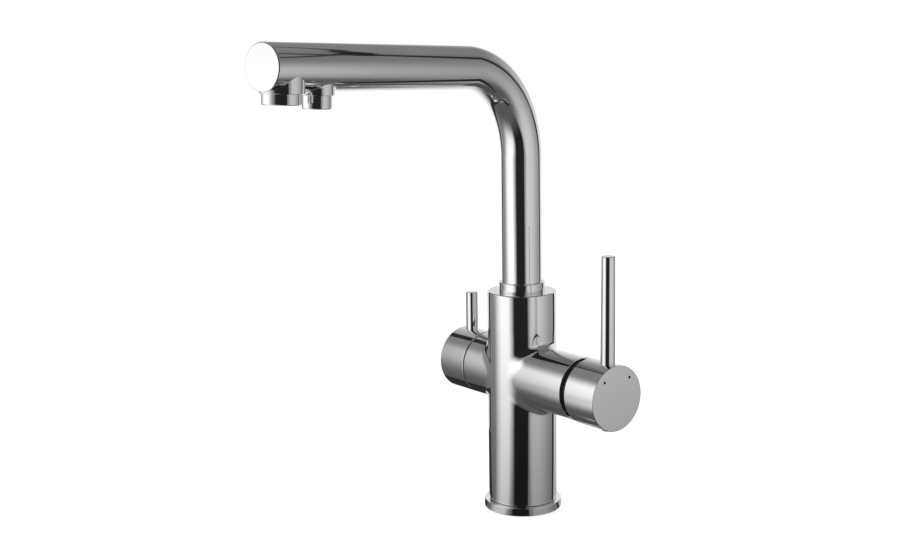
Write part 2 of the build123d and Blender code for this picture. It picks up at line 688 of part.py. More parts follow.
def outlet_boss(radius, drop):
    """A boss under the arm, from inside the tube's wall to its lower face."""
    top = -sqrt(tube_radius**2 - radius**2) + SPOUT_WALL / 2
    return upright(radius, -drop, top)


def fillet_boss(shape, place, drop, radius):
    """Round the seam of the boss at one place, by no more than the boss stands out."""
    point = Vector(*arm_point(place))
    near = [edge for edge in seam_curves(shape) if (edge.center() - point).length < 1.2 * tube_radius]
    return fillet(near, min(radius, BOSS_FILLET_SHARE * (drop - tube_radius)))


def spout_tube():
    """Bent tube with two brazed outlet bosses, polished as one piece."""
    end = ARM_LENGTH - END_CAP_THICKNESS
    outside = bent_bar(tube_radius, shoulder_top, end)
    inside = bent_bar(tube_bore_radius, shoulder_top, end)
    main_boss = on_arm(main_outlet_place) * outlet_boss(main_boss_radius, main_boss_drop)
    filter_boss = on_arm(filter_outlet_place) * outlet_boss(filter_boss_radius, filter_boss_drop)
    outside += main_boss
    outside += filter_boss
    outside = fillet_boss(outside, main_outlet_place, main_boss_drop, MAIN_BOSS_FILLET)
    outside = fillet_boss(outside, filter_outlet_place, filter_boss_drop, FILTER_BOSS_FILLET)
    spout = outside - (inside - main_boss - filter_boss)
    reach = MAIN_THREAD_LENGTH + WASHER_HEIGHT
    spout -= on_arm(main_outlet_place) * upright(
        main_thread_radius + FIT, -main_boss_drop, -main_boss_drop + reach
    )
    bore = main_thread_radius - WASHER_WIDTH
    spout -= on_arm(main_outlet_place) * upright(bore, -main_boss_drop, 0)
    spout -= on_arm(filter_outlet_place) * upright(adapter_radius + FIT, -filter_boss_drop, 0)
    seat = END_CAP_PLUG + FIT
    spout -= on_arm(end - seat / 2) * Rot(0, 90, 0) * Cylinder(tube_bore_radius, seat)
    return turned(spout)


def spout_base_insert():
    """Brass end piece in the tube's foot, with two seal grooves and the retaining groove."""
    insert = upright(shaft_radius, shaft_bottom, shoulder_bottom)
    insert += upright(tube_radius, shoulder_bottom, shoulder_top)
    insert += upright(tube_bore_radius - FIT, shoulder_top, shoulder_top + TUBE_PLUG)
    floor = shaft_radius - GROOVE_DEPTH
    for height in SHAFT_SEAL_HEIGHTS:
        insert -= Pos(0, 0, shaft_bottom + height) * seal_groove(floor, swivel_radius)
    half = DOG_DIAMETER / 2 + 3 * FIT
    insert -= upright_ring(shaft_radius + CUT_PAST, floor, dog_height - half, dog_height + half)
    return turned(insert - upright(shaft_bore_radius, shaft_bottom, shoulder_top + TUBE_PLUG))


def spout_o_rings():
    """Two ring seals between the end piece and the body."""
    ring = o_ring(shaft_radius - GROOVE_DEPTH, swivel_radius)
    rings = [Pos(0, 0, shaft_bottom + height) * ring for height in SHAFT_SEAL_HEIGHTS]
    return turned(Part() + rings)


def filtered_tube_socket():
    """Finned brass sleeve that turns on the stub and holds the small tube in the middle."""
    low = stub_top - SOCKET_OVERLAP
    high = water_tube_start + SOCKET_GRIP
    socket = upright(socket_radius, low, high)
    reach = shaft_bore_radius - FIT
    blade = Pos(reach / 2, 0, low + FIN_HEIGHT / 2) * Box(reach, FIN_THICKNESS, FIN_HEIGHT)
    fins = Part() + [Rot(0, 0, 360 * index / FIN_COUNT) * blade for index in range(FIN_COUNT)]
    socket += fins & upright(reach, low, low + FIN_HEIGHT)
    return turned(socket - upright(socket_bore_radius, low, high))


def filtered_water_tube():
    """Small tube that keeps the filtered water apart, all the way to its own outlet."""
    end = filter_outlet_place - adapter_chamber_radius
    outside = bent_bar(stub_radius, water_tube_start, end)
    inside = bent_bar(stub_radius - WATER_TUBE_WALL, water_tube_start, end)
    return turned(outside - inside)


def filter_outlet_adapter():
    """Brass cup in the smaller boss; the small tube enters its side, the outlet ring its foot."""
    adapter = upright(adapter_radius, -filter_boss_drop, ADAPTER_CROWN)
    seat = -filter_boss_drop + FILTER_THREAD_LENGTH + WASHER_HEIGHT
    adapter -= upright(filter_thread_radius + FIT, -filter_boss_drop, seat)
    adapter -= upright(adapter_chamber_radius, seat, ADAPTER_CROWN - ADAPTER_ROOF)
    adapter -= lengthwise(stub_radius + FIT, -adapter_radius, 0, 0, 0)
    return turned(on_arm(filter_outlet_place) * adapter)


def outlet_ring(radius, drop, height, thread_radius, thread_length, bore_radius, insert_length):
    """A chromed outlet ring with its thread above and the seat of its insert inside."""
    ring = upright(radius, -drop, -drop + height)
    ring = chamfer(circles(ring, radius, "Z", -drop), RING_CHAMFER)
    ring = chamfer(circles(ring, radius, "Z", -drop + height), RING_CHAMFER / 2)
    ring += upright(thread_radius, -drop + height, -drop + height + thread_length)
    ring -= upright(bore_radius, -drop, -drop + height + thread_length)
    seat = thread_radius - RING_WALL / 2
    return ring - upright(seat, -drop, -drop + INSERT_RECESS + insert_length)


def flow_insert(radius, drop, length):
    """A plastic flow straightener: a short cup whose floor is pierced with jets."""
    low = -drop + INSERT_RECESS
    insert = upright(radius, low, low + length)
    insert -= upright(radius - INSERT_WALL, low + JET_PLATE, low + length)
    rows = int(radius / JET_PITCH) + 1
    jets = Part()
    for row in range(-rows, rows + 1):
        for column in range(-rows, rows + 1):
            x = (column + row / 2) * JET_PITCH
            y = row * JET_PITCH * cos(radians(30))
            if sqrt(x**2 + y**2) + JET_DIAMETER < radius - INSERT_WALL / 2:
                jets += upright(JET_DIAMETER / 2, low, low + JET_PLATE, x, y)
    return insert - jets


main_ring_bore = main_thread_radius - RING_WALL
main_insert_radius = main_thread_radius - RING_WALL / 2 - FIT
main_insert_length = MAIN_RING_HEIGHT + MAIN_THREAD_LENGTH / 2
filter_ring_bore = filter_thread_radius - RING_WALL
filter_insert_radius = filter_thread_radius - RING_WALL / 2 - FIT
filter_insert_length = FILTER_RING_HEIGHT - FILTER_INSERT_STEP


def main_aerator_ring():
    """Outlet ring of the mixed water."""
    ring = outlet_ring(
        main_ring_radius,
        MAIN_RING_DROP,
        MAIN_RING_HEIGHT,
        main_thread_radius,
        MAIN_THREAD_LENGTH,
        main_ring_bore,
        main_insert_length,
    )
    return turned(on_arm(main_outlet_place) * ring)


def main_aerator_insert():
    """Plastic aerator body."""
    insert = flow_insert(main_insert_radius, MAIN_RING_DROP, main_insert_length)
    return turned(on_arm(main_outlet_place) * insert)


def main_aerator_screen():
    """Steel screen in the aerator's cup, over its jets."""
    low = -MAIN_RING_DROP + INSERT_RECESS + JET_PLATE
    screen = upright(main_insert_radius - INSERT_WALL - FIT, low, low + SCREEN_THICKNESS)
    return turned(on_arm(main_outlet_place) * screen)


def main_aerator_washer():
    """Rubber washer over the aerator's thread."""
    low = -main_boss_drop + MAIN_THREAD_LENGTH
    inner = main_thread_radius - WASHER_WIDTH
    washer = upright_ring(main_thread_radius, inner, low, low + WASHER_HEIGHT)
    return turned(on_arm(main_outlet_place) * washer)


def filter_outlet_ring():
    """Outlet ring of the filtered water."""
    ring = outlet_ring(
        filter_ring_radius,
        FILTER_RING_DROP,
        FILTER_RING_HEIGHT,
        filter_thread_radius,
        FILTER_THREAD_LENGTH,
        filter_ring_bore,
        filter_insert_length,
    )
    return turned(on_arm(filter_outlet_place) * ring)


def filter_flow_insert():
    """Plastic flow straightener of the filtered water."""
    insert = flow_insert(filter_insert_radius, FILTER_RING_DROP, filter_insert_length)
    return turned(on_arm(filter_outlet_place) * insert)


def filter_outlet_washer():
    """Rubber washer between the filter ring's thread and the adapter."""
    low = -filter_boss_drop + FILTER_THREAD_LENGTH
    washer = upright_ring(filter_thread_radius, adapter_chamber_radius, low, low + WASHER_HEIGHT)
    return turned(on_arm(filter_outlet_place) * washer)


cap_plug_radius = tube_bore_radius - FIT
cap_groove_floor = cap_plug_radius - GROOVE_DEPTH


def spout_end_cap():
    """Flat polished disc with a grooved plug, pushed into the arm's end."""
    disc = upright(tube_radius, -END_CAP_THICKNESS, 0)
    disc = fillet(circles(disc, tube_radius, "Z", 0), END_CAP_ROUND)
    cap = disc + upright(cap_plug_radius, -END_CAP_THICKNESS - END_CAP_PLUG, -END_CAP_THICKNESS)
    middle = -END_CAP_THICKNESS - END_CAP_PLUG / 2
    cap -= Pos(0, 0, middle) * seal_groove(cap_groove_floor, tube_bore_radius)
    return turned(on_arm(ARM_LENGTH) * Rot(0, 90, 0) * cap)


def end_cap_o_ring():
    """Ring seal that holds the end cap in the tube."""
    ring = o_ring(cap_groove_floor, tube_bore_radius)
    middle = ARM_LENGTH - END_CAP_THICKNESS - END_CAP_PLUG / 2
    return turned(on_arm(middle) * Rot(0, 90, 0) * ring)


# Mixing cartridge, moving pieces


def rotor_seal_place():
    """Where the rotor's ring seal lies, along X."""
    return rotor_shoulder + ROTOR_SEAL_PLACE


def side_place(x):
    """A place on the levers' axis whose Z axis runs along X."""
    return Pos(x, 0, lever_axis) * Rot(0, 90, 0)


def cartridge_rotor():
    """Slotted plastic drum that turns in the neck with the temperature."""
    rotor = lengthwise(rotor_flange_radius, rotor_start, rotor_shoulder)
    rotor += lengthwise(rotor_radius, rotor_shoulder, rotor_end)
    floor = rotor_radius - HEADWORK_SEAL_DEPTH
    rotor -= side_place(rotor_seal_place()) * seal_groove(floor, rotor_radius)
    swing = (pivot_place - rotor_start) * tan(radians(LEVER_TILT)) + SPINDLE_TIP_DIAMETER / 2
    slot = 2 * (swing + 3 * SPINDLE_CLEARANCE)
    rotor -= square_bar(SPINDLE_SIZE + 2 * SPINDLE_CLEARANCE, slot, rotor_start, rotor_end)
    reach = rotor_radius - FIT
    return rotor - crosswise(PIVOT_PIN_DIAMETER / 2 + FIT / 2, -reach, reach, pivot_place, lever_axis)


def rotor_o_ring():
    """Ring seal between the rotor and the neck."""
    ring = o_ring(rotor_radius - HEADWORK_SEAL_DEPTH, neck_bore_radius)
    return side_place(rotor_seal_place()) * ring


def spindle_pivot_pin():
    """Steel cross pin that the spindle tilts on."""
    reach = rotor_radius - 2 * FIT
    return crosswise(PIVOT_PIN_DIAMETER / 2, -reach, reach, pivot_place, lever_axis)


def cartridge_spindle():
    """Brass spindle: a square for the lever's hub, the pivot's eye and a rounded driving tip."""
    width = SPINDLE_SIZE
    block_start = pivot_place - SPINDLE_SIZE / 2
    spindle = square_bar(width, SPINDLE_SIZE, block_start, spindle_end)
    spindle += square_bar(width, SPINDLE_ARM_SIZE, tip_place, block_start)
    tip_radius = SPINDLE_TIP_DIAMETER / 2
    spindle += crosswise(tip_radius, -width / 2, width / 2, tip_place, lever_axis)
    eye = PIVOT_PIN_DIAMETER / 2 + RUNNING_FIT
    return spindle - crosswise(eye, -width / 2, width / 2, pivot_place, lever_axis)


def carrier_pins(radius, start, end):
    """Two short pegs that key the driver to its disc."""
    place = moving_disc_radius - 2 * CARRIER_PIN_DIAMETER
    pegs = lengthwise(radius, start, end, place)
    return pegs + lengthwise(radius, start, end, -place)


def cartridge_moving_disc():
    """Ceramic disc that slides and turns; the pocket in its face joins the ports when open."""
    disc = lengthwise(moving_disc_radius, moving_disc_start, carrier_start)
    width = MIXING_POCKET_WIDTH * moving_disc_radius
    height = MIXING_POCKET_HEIGHT * moving_disc_radius
    top = MIXER_PORT_OFFSET - MIXER_PORT_DIAMETER / 2 - MIXING_POCKET_LAP
    pocket = Box(2 * MIXING_POCKET_DEPTH, width, height)
    disc -= Pos(moving_disc_start, 0, lever_axis + top - height / 2) * pocket
    peg = CARRIER_PIN_DIAMETER / 2
    return disc - carrier_pins(peg + FIT, carrier_start - peg - FIT, carrier_start)


def disc_carrier():
    """Plastic driver on the moving disc, with the slot that takes the spindle's tip."""
    carrier = lengthwise(moving_disc_radius - FIT, carrier_start, carrier_end)
    peg = CARRIER_PIN_DIAMETER / 2
    carrier += carrier_pins(peg, carrier_start - peg, carrier_start)
    height = SPINDLE_TIP_DIAMETER + 2 * SPINDLE_CLEARANCE
    width = SPINDLE_SIZE + 4 * SPINDLE_CLEARANCE
    floor = tip_place - SPINDLE_TIP_DIAMETER / 2 - 2 * SPINDLE_CLEARANCE
    return carrier - square_bar(width, height, floor, carrier_end)


# Levers


def barrel(side, radius, bore, start, end, hub_length, pin_place, pin_seat_radius, thread_radius):
    """A hollow lever barrel with its hub, on side 1 or -1; distances are from the column's axis."""
    hub_end = end - BARREL_END
    shell = lengthwise(radius, side * start, side * end)
    shell = fillet(circles(shell, radius, "X", side * end), BARREL_ROUND)
    shell = fillet(circles(shell, radius, "X", side * start), BARREL_ROUND / 2)
    shell -= lengthwise(bore, side * start, side * hub_end)
    hub_start = hub_end - hub_length
    shell += lengthwise(hub_radius, side * hub_start, side * hub_end)
    shell -= square_bar(square_hole, square_hole, side * hub_start, side * hub_end)
    x = side * pin_place
    top = lever_axis + radius + CUT_PAST
    bottom = lever_axis - radius - CUT_PAST
    shell -= upright(thread_radius + FIT, lever_axis, top, x)
    shell -= upright(pin_seat_radius, lever_axis + radius - PIN_SEAT, top, x)
    shell -= upright(GRUB_DIAMETER / 2 + FIT, lever_axis - hub_radius - CUT_PAST, lever_axis, x)
    return shell - upright(PLUG_DIAMETER / 2 + FIT, bottom, lever_axis - bore + CUT_PAST, x)


def index_dots(extra=0.0):
    """Two round enamel marks let into the barrel's end disc."""
    dots = Part()
    start = main_barrel_end - DOT_DEPTH
    for side in (-1, 1):
        y = side * DOT_CIRCLE * sin(radians(DOT_ANGLE))
        z = lever_axis + DOT_CIRCLE * cos(radians(DOT_ANGLE))
        dots += lengthwise(DOT_DIAMETER / 2 + extra, start, main_barrel_end, y, z)
    return dots


def main_handle_barrel():
    """Main lever's barrel, with the marks' recesses in its polished end."""
    shell = barrel(
        1,
        main_barrel_radius,
        main_barrel_bore,
        main_barrel_start,
        main_barrel_end,
        MAIN_HUB_LENGTH,
        main_pin_place,
        MAIN_PIN_FOOT / 2 + FIT,
        PIN_THREAD / 2,
    )
    return shell - index_dots(FIT / 2)


def lever_pin(place, barrel_radius, foot, head, reach, thread):
    """A lever pin, tapered or straight, with the thread that holds it in the barrel's hub."""
    low = lever_axis + barrel_radius - PIN_SEAT
    top = lever_axis + reach
    rod = Pos(place, 0, (low + top) / 2) * Cone(foot / 2, head / 2, top - low)
    rod = fillet(rod.edges().filter_by(GeomType.CIRCLE).sort_by(Axis.Z)[-1], PIN_ROUND)
    return rod + upright(thread / 2, lever_axis + HUB_GRIP, low, place)


def main_lever_pin():
    """Main lever's tapered pin."""
    return lever_pin(
        main_pin_place, main_barrel_radius, MAIN_PIN_FOOT, MAIN_PIN_HEAD, MAIN_PIN_REACH, PIN_THREAD
    )


def grub_screw(place):
    """A socket grub screw that locks a hub on its spindle, from below."""
    high = lever_axis - SPINDLE_SIZE / 2 - FIT / 2
    low = lever_axis - hub_radius + FIT
    return upright(GRUB_DIAMETER / 2, low, high, place) - key_socket(
        low, low + GRUB_SOCKET_DEPTH, place
    )


def screw_plug(place, barrel_radius, bore, proud):
    """A round plug in the barrel's underside that hides the grub screw."""
    low = lever_axis - barrel_radius - proud
    plug = upright(PLUG_DIAMETER / 2, low, lever_axis - bore, place)
    return fillet(circles(plug, PLUG_DIAMETER / 2, "Z", low), PLUG_ROUND)


def filter_handle_barrel():
    """Filter lever's barrel."""
    return barrel(
        -1,
        filter_barrel_radius,
        filter_barrel_bore,
        filter_barrel_start,
        filter_barrel_end,
        FILTER_HUB_LENGTH,
        filter_pin_place,
        FILTER_PIN_DIAMETER / 2 + FIT,
        FILTER_PIN_THREAD / 2,
    )


def filter_lever_pin():
    """Filter lever's short straight pin."""
    size = FILTER_PIN_DIAMETER
    reach = FILTER_PIN_REACH
    head = size - FIT
    return lever_pin(-filter_pin_place, filter_barrel_radius, size, head, reach, FILTER_PIN_THREAD)


# Quarter-turn headwork of the filter valve


def headwork_housing():
    """Brass headwork: a threaded cup with side windows, a flange on the branch and a hexagon."""
    housing = lengthwise(headwork_radius, -filter_floor - HEADWORK_SETBACK, -FILTER_BRANCH_END)
    seal_floor = headwork_radius - HEADWORK_SEAL_DEPTH
    groove = seal_groove(seal_floor, headwork_radius)
    housing -= side_place(-headwork_seal_place) * groove
    flange = HEADWORK_FLANGE_DIAMETER / 2
    housing += lengthwise(flange, -FILTER_BRANCH_END, -headwork_flange_end)
    housing += hexagon_bar(HEADWORK_HEX, -headwork_flange_end, -headwork_hex_end)
    housing -= lengthwise(headwork_bore_radius, -filter_floor, -headwork_driver_end - FIT)
    housing -= lengthwise(stem_bore_radius, -headwork_driver_end, -headwork_hex_end)
    window = -moving_headwork_disc - HEADWORK_DISC_THICKNESS / 2
    low = lever_axis - filter_pocket_radius
    high = lever_axis + filter_pocket_radius
    return housing - upright(HEADWORK_PORT_DIAMETER / 2, low, high, window)


def headwork_body_o_ring():
    """Ring seal between the headwork and the branch."""
    ring = o_ring(headwork_radius - HEADWORK_SEAL_DEPTH, filter_pocket_radius)
    return side_place(-headwork_seal_place) * ring


def headwork_seat_seal():
    """Rubber ring that presses the discs together from the pocket's floor."""
    outer = headwork_disc_radius
    inner = outer - SEAT_SEAL_WIDTH
    return lengthwise_ring(outer, inner, -filter_floor, -fixed_headwork_disc)


def headwork_fixed_disc():
    """Ceramic disc with two ports, above and below the axis."""
    disc = lengthwise(headwork_disc_radius, -fixed_headwork_disc, -moving_headwork_disc)
    for side in (-1, 1):
        z = lever_axis + side * HEADWORK_PORT_OFFSET
        radius = HEADWORK_PORT_DIAMETER / 2
        disc -= lengthwise(radius, -fixed_headwork_disc, -moving_headwork_disc, 0, z)
    return disc


def driver_pegs(radius, start, end):
    """The two pegs of the spindle that turn the moving disc."""
    above = lengthwise(radius, start, end, 0, lever_axis + HEADWORK_PORT_OFFSET)
    return above + lengthwise(radius, start, end, 0, lever_axis - HEADWORK_PORT_OFFSET)


def headwork_moving_disc():
    """Ceramic disc with a notch on each side; it uncovers the ports after a quarter turn."""
    disc = lengthwise(headwork_disc_radius - FIT, -moving_headwork_disc, -headwork_driver)
    notch = Box(HEADWORK_DISC_THICKNESS, headwork_disc_radius, HEADWORK_PORT_DIAMETER)
    middle = -(moving_headwork_disc + headwork_driver) / 2
    for side in (-1, 1):
        y = side * (headwork_disc_radius / 2 + HEADWORK_PORT_OFFSET - HEADWORK_PORT_DIAMETER / 2)
        disc -= Pos(middle, y, lever_axis) * notch
    radius = CARRIER_PIN_DIAMETER / 2 + FIT
    return disc - driver_pegs(radius, -headwork_driver + radius, -headwork_driver)


def headwork_spindle():
    """Brass stem: a driving flange with two pegs, a sealed shank and a square for the barrel."""
    spindle = lengthwise(headwork_disc_radius - 3 * FIT, -headwork_driver, -headwork_driver_end)
    spindle += lengthwise(stem_radius, -headwork_driver_end, -headwork_hex_end)
    floor = stem_radius - HEADWORK_SEAL_DEPTH
    spindle -= side_place(-headwork_seal_place) * seal_groove(floor, stem_radius)
    end = filter_hub_end - SPINDLE_SETBACK
    spindle += square_bar(SPINDLE_SIZE, SPINDLE_SIZE, -headwork_hex_end, -end)
    radius = CARRIER_PIN_DIAMETER / 2
    return spindle + driver_pegs(radius, -headwork_driver + radius, -headwork_driver)


def headwork_spindle_o_ring():
    """Ring seal on the stem."""
    ring = o_ring(stem_radius - HEADWORK_SEAL_DEPTH, stem_bore_radius)
    return side_place(-headwork_seal_place) * ring


def lever_screw_plug():
    """Rounded plug under the main barrel, standing a little proud."""
    return screw_plug(main_pin_place, main_barrel_radius, main_barrel_bore, PLUG_PROUD)


def filter_screw_plug():
    """The same plug under the filter barrel, pushed in further."""
    return screw_plug(-filter_pin_place, filter_barrel_radius, filter_barrel_bore, 0)


pieces = {
    "base_flange": base_flange(),
    "base_gasket": base_gasket(),
    "inlet_block": inlet_block(),
    "inlet_block_screws": inlet_block_screws(),
    "inlet_seals": inlet_seals(),
    "main_body": main_body(),
    "spout_collar": spout_collar(),
    "spout_retaining_screw": spout_retaining_screw(),
    "lower_swivel_bush": lower_swivel_bush(),
    "upper_swivel_bush": upper_swivel_bush(),
    "filtered_water_stub": filtered_water_stub(),
    "stub_o_rings": stub_o_rings(),
    "cartridge_housing": cartridge_housing(),
    "cartridge_base_seals": cartridge_base_seals(),
    "cartridge_fixed_disc": cartridge_fixed_disc(),
    "cartridge_retaining_nut": cartridge_retaining_nut(),
    "dome_cover": dome_cover(),
    "headwork_housing": headwork_housing(),
    "headwork_body_o_ring": headwork_body_o_ring(),
    "headwork_seat_seal": headwork_seat_seal(),
    "headwork_fixed_disc": headwork_fixed_disc(),
    "spout_tube": spout_tube(),
    "spout_base_insert": spout_base_insert(),
    "spout_o_rings": spout_o_rings(),
    "filtered_tube_socket": filtered_tube_socket(),
    "filtered_water_tube": filtered_water_tube(),
    "filter_outlet_adapter": filter_outlet_adapter(),
    "filter_outlet_ring": filter_outlet_ring(),
    "filter_flow_insert": filter_flow_insert(),
    "filter_outlet_washer": filter_outlet_washer(),
    "main_aerator_ring": main_aerator_ring(),
    "main_aerator_insert": main_aerator_insert(),
    "main_aerator_screen": main_aerator_screen(),
    "main_aerator_washer": main_aerator_washer(),
    "spout_end_cap": spout_end_cap(),
    "end_cap_o_ring": end_cap_o_ring(),
    "cartridge_rotor": cartridge_rotor(),
    "rotor_o_ring": rotor_o_ring(),
    "spindle_pivot_pin": spindle_pivot_pin(),
    "cartridge_spindle": cartridge_spindle(),
    "cartridge_moving_disc": cartridge_moving_disc(),
    "disc_carrier": disc_carrier(),
    "main_handle_barrel": main_handle_barrel(),
    "main_lever_pin": main_lever_pin(),
    "handle_grub_screw": grub_screw(main_pin_place),
    "lever_screw_plug": lever_screw_plug(),
    "index_dots": index_dots(),
    "headwork_spindle": headwork_spindle(),
    "headwork_moving_disc": headwork_moving_disc(),
    "headwork_spindle_o_ring": headwork_spindle_o_ring(),
    "filter_handle_barrel": filter_handle_barrel(),
    "filter_lever_pin": filter_lever_pin(),
    "filter_grub_screw": grub_screw(-filter_pin_place),
    "filter_screw_plug": filter_screw_plug(),
}

os.makedirs("parts", exist_ok=True)
for name, piece in pieces.items():
    export_step(piece, f"parts/{name}.step")
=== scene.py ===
from math import atan2, ceil, cos, pi, radians, sin, sqrt, tan

import bmesh
import bpy
from mathutils import Matrix, Vector


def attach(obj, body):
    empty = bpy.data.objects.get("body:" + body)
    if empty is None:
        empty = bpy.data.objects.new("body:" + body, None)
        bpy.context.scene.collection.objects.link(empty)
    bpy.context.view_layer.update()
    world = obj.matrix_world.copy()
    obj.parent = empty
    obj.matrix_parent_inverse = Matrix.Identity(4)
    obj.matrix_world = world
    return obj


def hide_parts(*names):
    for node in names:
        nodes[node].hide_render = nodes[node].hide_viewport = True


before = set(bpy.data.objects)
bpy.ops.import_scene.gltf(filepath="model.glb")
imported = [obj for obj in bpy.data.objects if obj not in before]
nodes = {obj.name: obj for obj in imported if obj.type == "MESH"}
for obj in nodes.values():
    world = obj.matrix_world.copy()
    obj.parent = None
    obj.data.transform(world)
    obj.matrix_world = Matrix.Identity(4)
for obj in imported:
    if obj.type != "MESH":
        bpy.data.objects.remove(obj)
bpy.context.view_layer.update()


# Foot flange: the turned brass ring that the body's spigot stands in, chromed, with a rounded upper
# edge. It covers the hole in the worktop and is clamped down by the stud under it.

MM = 0.001
SIDES = 256  # round a turned piece
WELD = 0.0002  # mm
EDGE_ANGLE = 32  # degrees between faces, past which an edge is crisp
ARC_STEP = radians(9)  # turn between the points of a rounded edge
LOOP_GAP = 0.15  # mm from a rounded edge to the loop that keeps the face beside it true

FLANGE_RADIUS = 27.15
FLANGE_TOP = 6.3
FLANGE_ROUND = 0.7
FLANGE_CHAMFER = 0.35  # at its foot
GROOVE_INNER = 22.05  # radius of the gasket's groove
GROOVE_OUTER = 25.45
GROOVE_DEPTH = 2.0
GROOVE_BREAK = 0.1
SPIGOT_RADIUS = 20.5
FIT = 0.1  # between pieces that are screwed or pushed together


def rounded(*corners):
    """Points along a profile whose corners are (radius, height) or (radius, height, rounding)."""
    points = []
    for i, corner in enumerate(corners):
        here = Vector(corner[:2])
        if len(corner) == 2:
            points.append(here)
            continue
        back = Vector(corners[i - 1][:2]) - here
        on = Vector(corners[(i + 1) % len(corners)][:2]) - here
        gap = min(LOOP_GAP, back.length / 4, on.length / 4)
        back.normalize()
        on.normalize()
        half = back.angle(on) / 2
        reach = corner[2] / tan(half)
        centre = here + (back + on).normalized() * corner[2] / sin(half)
        start, end = here + back * reach - centre, here + on * reach - centre
        steps = max(3, ceil((pi - 2 * half) / ARC_STEP))
        points.append(here + back * (reach + gap))
        points += [centre + start.slerp(end, k / steps) * corner[2] for k in range(steps + 1)]
        points.append(here + on * (reach + gap))
    return points


def turned(points, sides=SIDES):
    """Rings of a lathe-turned skin about the Z axis; a point on the axis is a ring of one."""
    angles = [2 * pi * i / sides for i in range(sides)]
    return [
        [Vector((r * cos(a), r * sin(a), h)) for a in angles] if r else [Vector((0, 0, h))]
        for r, h in points
    ]


def skin(shape, rings, place=Matrix()):
    """Joins each ring of points to the next with faces."""
    before = None
    for ring in rings:
        here = [shape.verts.new(place @ point) for point in ring]
        if before and len(before) + len(here) > 2:
            steps = max(len(before), len(here))
            for i in range(steps):
                j = (i + 1) % steps
                corners = (
                    before[i % len(before)],
                    before[j % len(before)],
                    here[j % len(here)],
                    here[i % len(here)],
                )
                shape.faces.new(list(dict.fromkeys(corners)))
        before = here


def show(name, mesh, material):
    """Puts a finished mesh in the scene, smooth but for its crisp edges."""
    mesh.name = name
    mesh.shade_smooth()
    mesh.set_sharp_from_angle(angle=radians(EDGE_ANGLE))
    mesh.materials.clear()
    mesh.materials.append(material)
    piece = bpy.data.objects.new(name, mesh)
    bpy.context.scene.collection.objects.link(piece)
    return piece


def finished(name, shape, material):
    """Welds a shape drawn in millimetres, turns its faces outwards and puts it in the scene."""
    bmesh.ops.remove_doubles(shape, verts=shape.verts, dist=WELD)
    bmesh.ops.recalc_face_normals(shape, faces=shape.faces)
    bmesh.ops.scale(shape, vec=(MM, MM, MM), verts=shape.verts)
    mesh = bpy.data.meshes.new(name)
    shape.to_mesh(mesh)
    shape.free()
    return show(name, mesh, material)


def lathe(name, material, place, points):
    """A closed piece turned from one profile about place's Z axis."""
    shape = bmesh.new()
    rings = turned(points)
    skin(shape, rings + rings[:1], place)
    return finished(name, shape, material)


def linear(code):
    """An sRGB hex colour as linear red, green, blue and alpha."""
    parts = [int(code[i : i + 2], 16) / 255 for i in (1, 3, 5)]
    return [c / 12.92 if c <= 0.04045 else ((c + 0.055) / 1.055) ** 2.4 for c in parts] + [1]


def add(tree, kind, sockets=None, **settings):
    """Adds a node with its settings; a socket takes a value, a socket, or a node's first output."""
    node = tree.nodes.new(kind)
    for key, value in settings.items():
        setattr(node, key, value)
    for key, value in (sockets or {}).items():
        if isinstance(value, bpy.types.Node):
            value = value.outputs[0]
        if isinstance(value, bpy.types.NodeSocket):
            tree.links.new(value, node.inputs[key])
        else:
            node.inputs[key].default_value = value
    return node


def material_tree(name):
    """A new material's empty node tree, with the material itself."""
    material = bpy.data.materials.new(name)
    material.use_nodes = True
    material.node_tree.nodes.clear()
    return material, material.node_tree


# Bright chromium over nickel on buffed brass: a cool near-white mirror. The eye sees crisp bands of
# the room in it, a breath of water film that dulls it in patches, and buffing waves in long bands.
BUFFING_WAVE = 9.0  # mm between soft rises left by the buffing wheel
FILM_PATCH = 6.0  # mm across a patch of dried film
HAIRLINE = 0.5  # mm; real ones are finer, drawn this coarse so that they show
chrome, tree = material_tree("chromium_plate_buffed")
coordinates = add(tree, "ShaderNodeTexCoord").outputs["Object"]
film = add(
    tree, "ShaderNodeTexNoise", {"Vector": coordinates, "Scale": 1 / (FILM_PATCH * MM), "Detail": 5}
)
hairlines = add(
    tree, "ShaderNodeTexNoise", {"Vector": coordinates, "Scale": 1 / (HAIRLINE * MM), "Detail": 2}
)
both = add(tree, "ShaderNodeMath", {0: film, 1: hairlines}, operation="MULTIPLY")
smear = {"From Min": 0.15, "From Max": 0.4, "To Min": 0.03, "To Max": 0.075}
gloss = add(tree, "ShaderNodeMapRange", {"Value": both, **smear})
waves = add(
    tree, "ShaderNodeTexNoise", {"Vector": coordinates, "Scale": 1 / (BUFFING_WAVE * MM), "Detail": 0}
)
relief = add(tree, "ShaderNodeBump", {"Height": waves, "Strength": 0.35, "Distance": 0.02 * MM})
shader = add(
    tree,
    "ShaderNodeBsdfPrincipled",
    {"Base Color": linear("#E2E2E2"), "Metallic": 1.0, "Roughness": gloss, "Normal": relief},
)
add(tree, "ShaderNodeOutputMaterial", {"Surface": shader})

flange = lathe(
    "foot_flange",
    chrome,
    Matrix(),
    rounded(
        (SPIGOT_RADIUS + FIT, 0),
        (GROOVE_INNER, 0),
        (GROOVE_INNER, GROOVE_DEPTH),
        (GROOVE_OUTER, GROOVE_DEPTH),
        (GROOVE_OUTER, 0, GROOVE_BREAK),
        (FLANGE_RADIUS - FLANGE_CHAMFER, 0, GROOVE_BREAK),
        (FLANGE_RADIUS, FLANGE_CHAMFER, GROOVE_BREAK),
        (FLANGE_RADIUS, FLANGE_TOP, FLANGE_ROUND),
        (SPIGOT_RADIUS + FIT, FLANGE_TOP),
    ),
)
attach(flange, "tap_body")
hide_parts("base_flange")


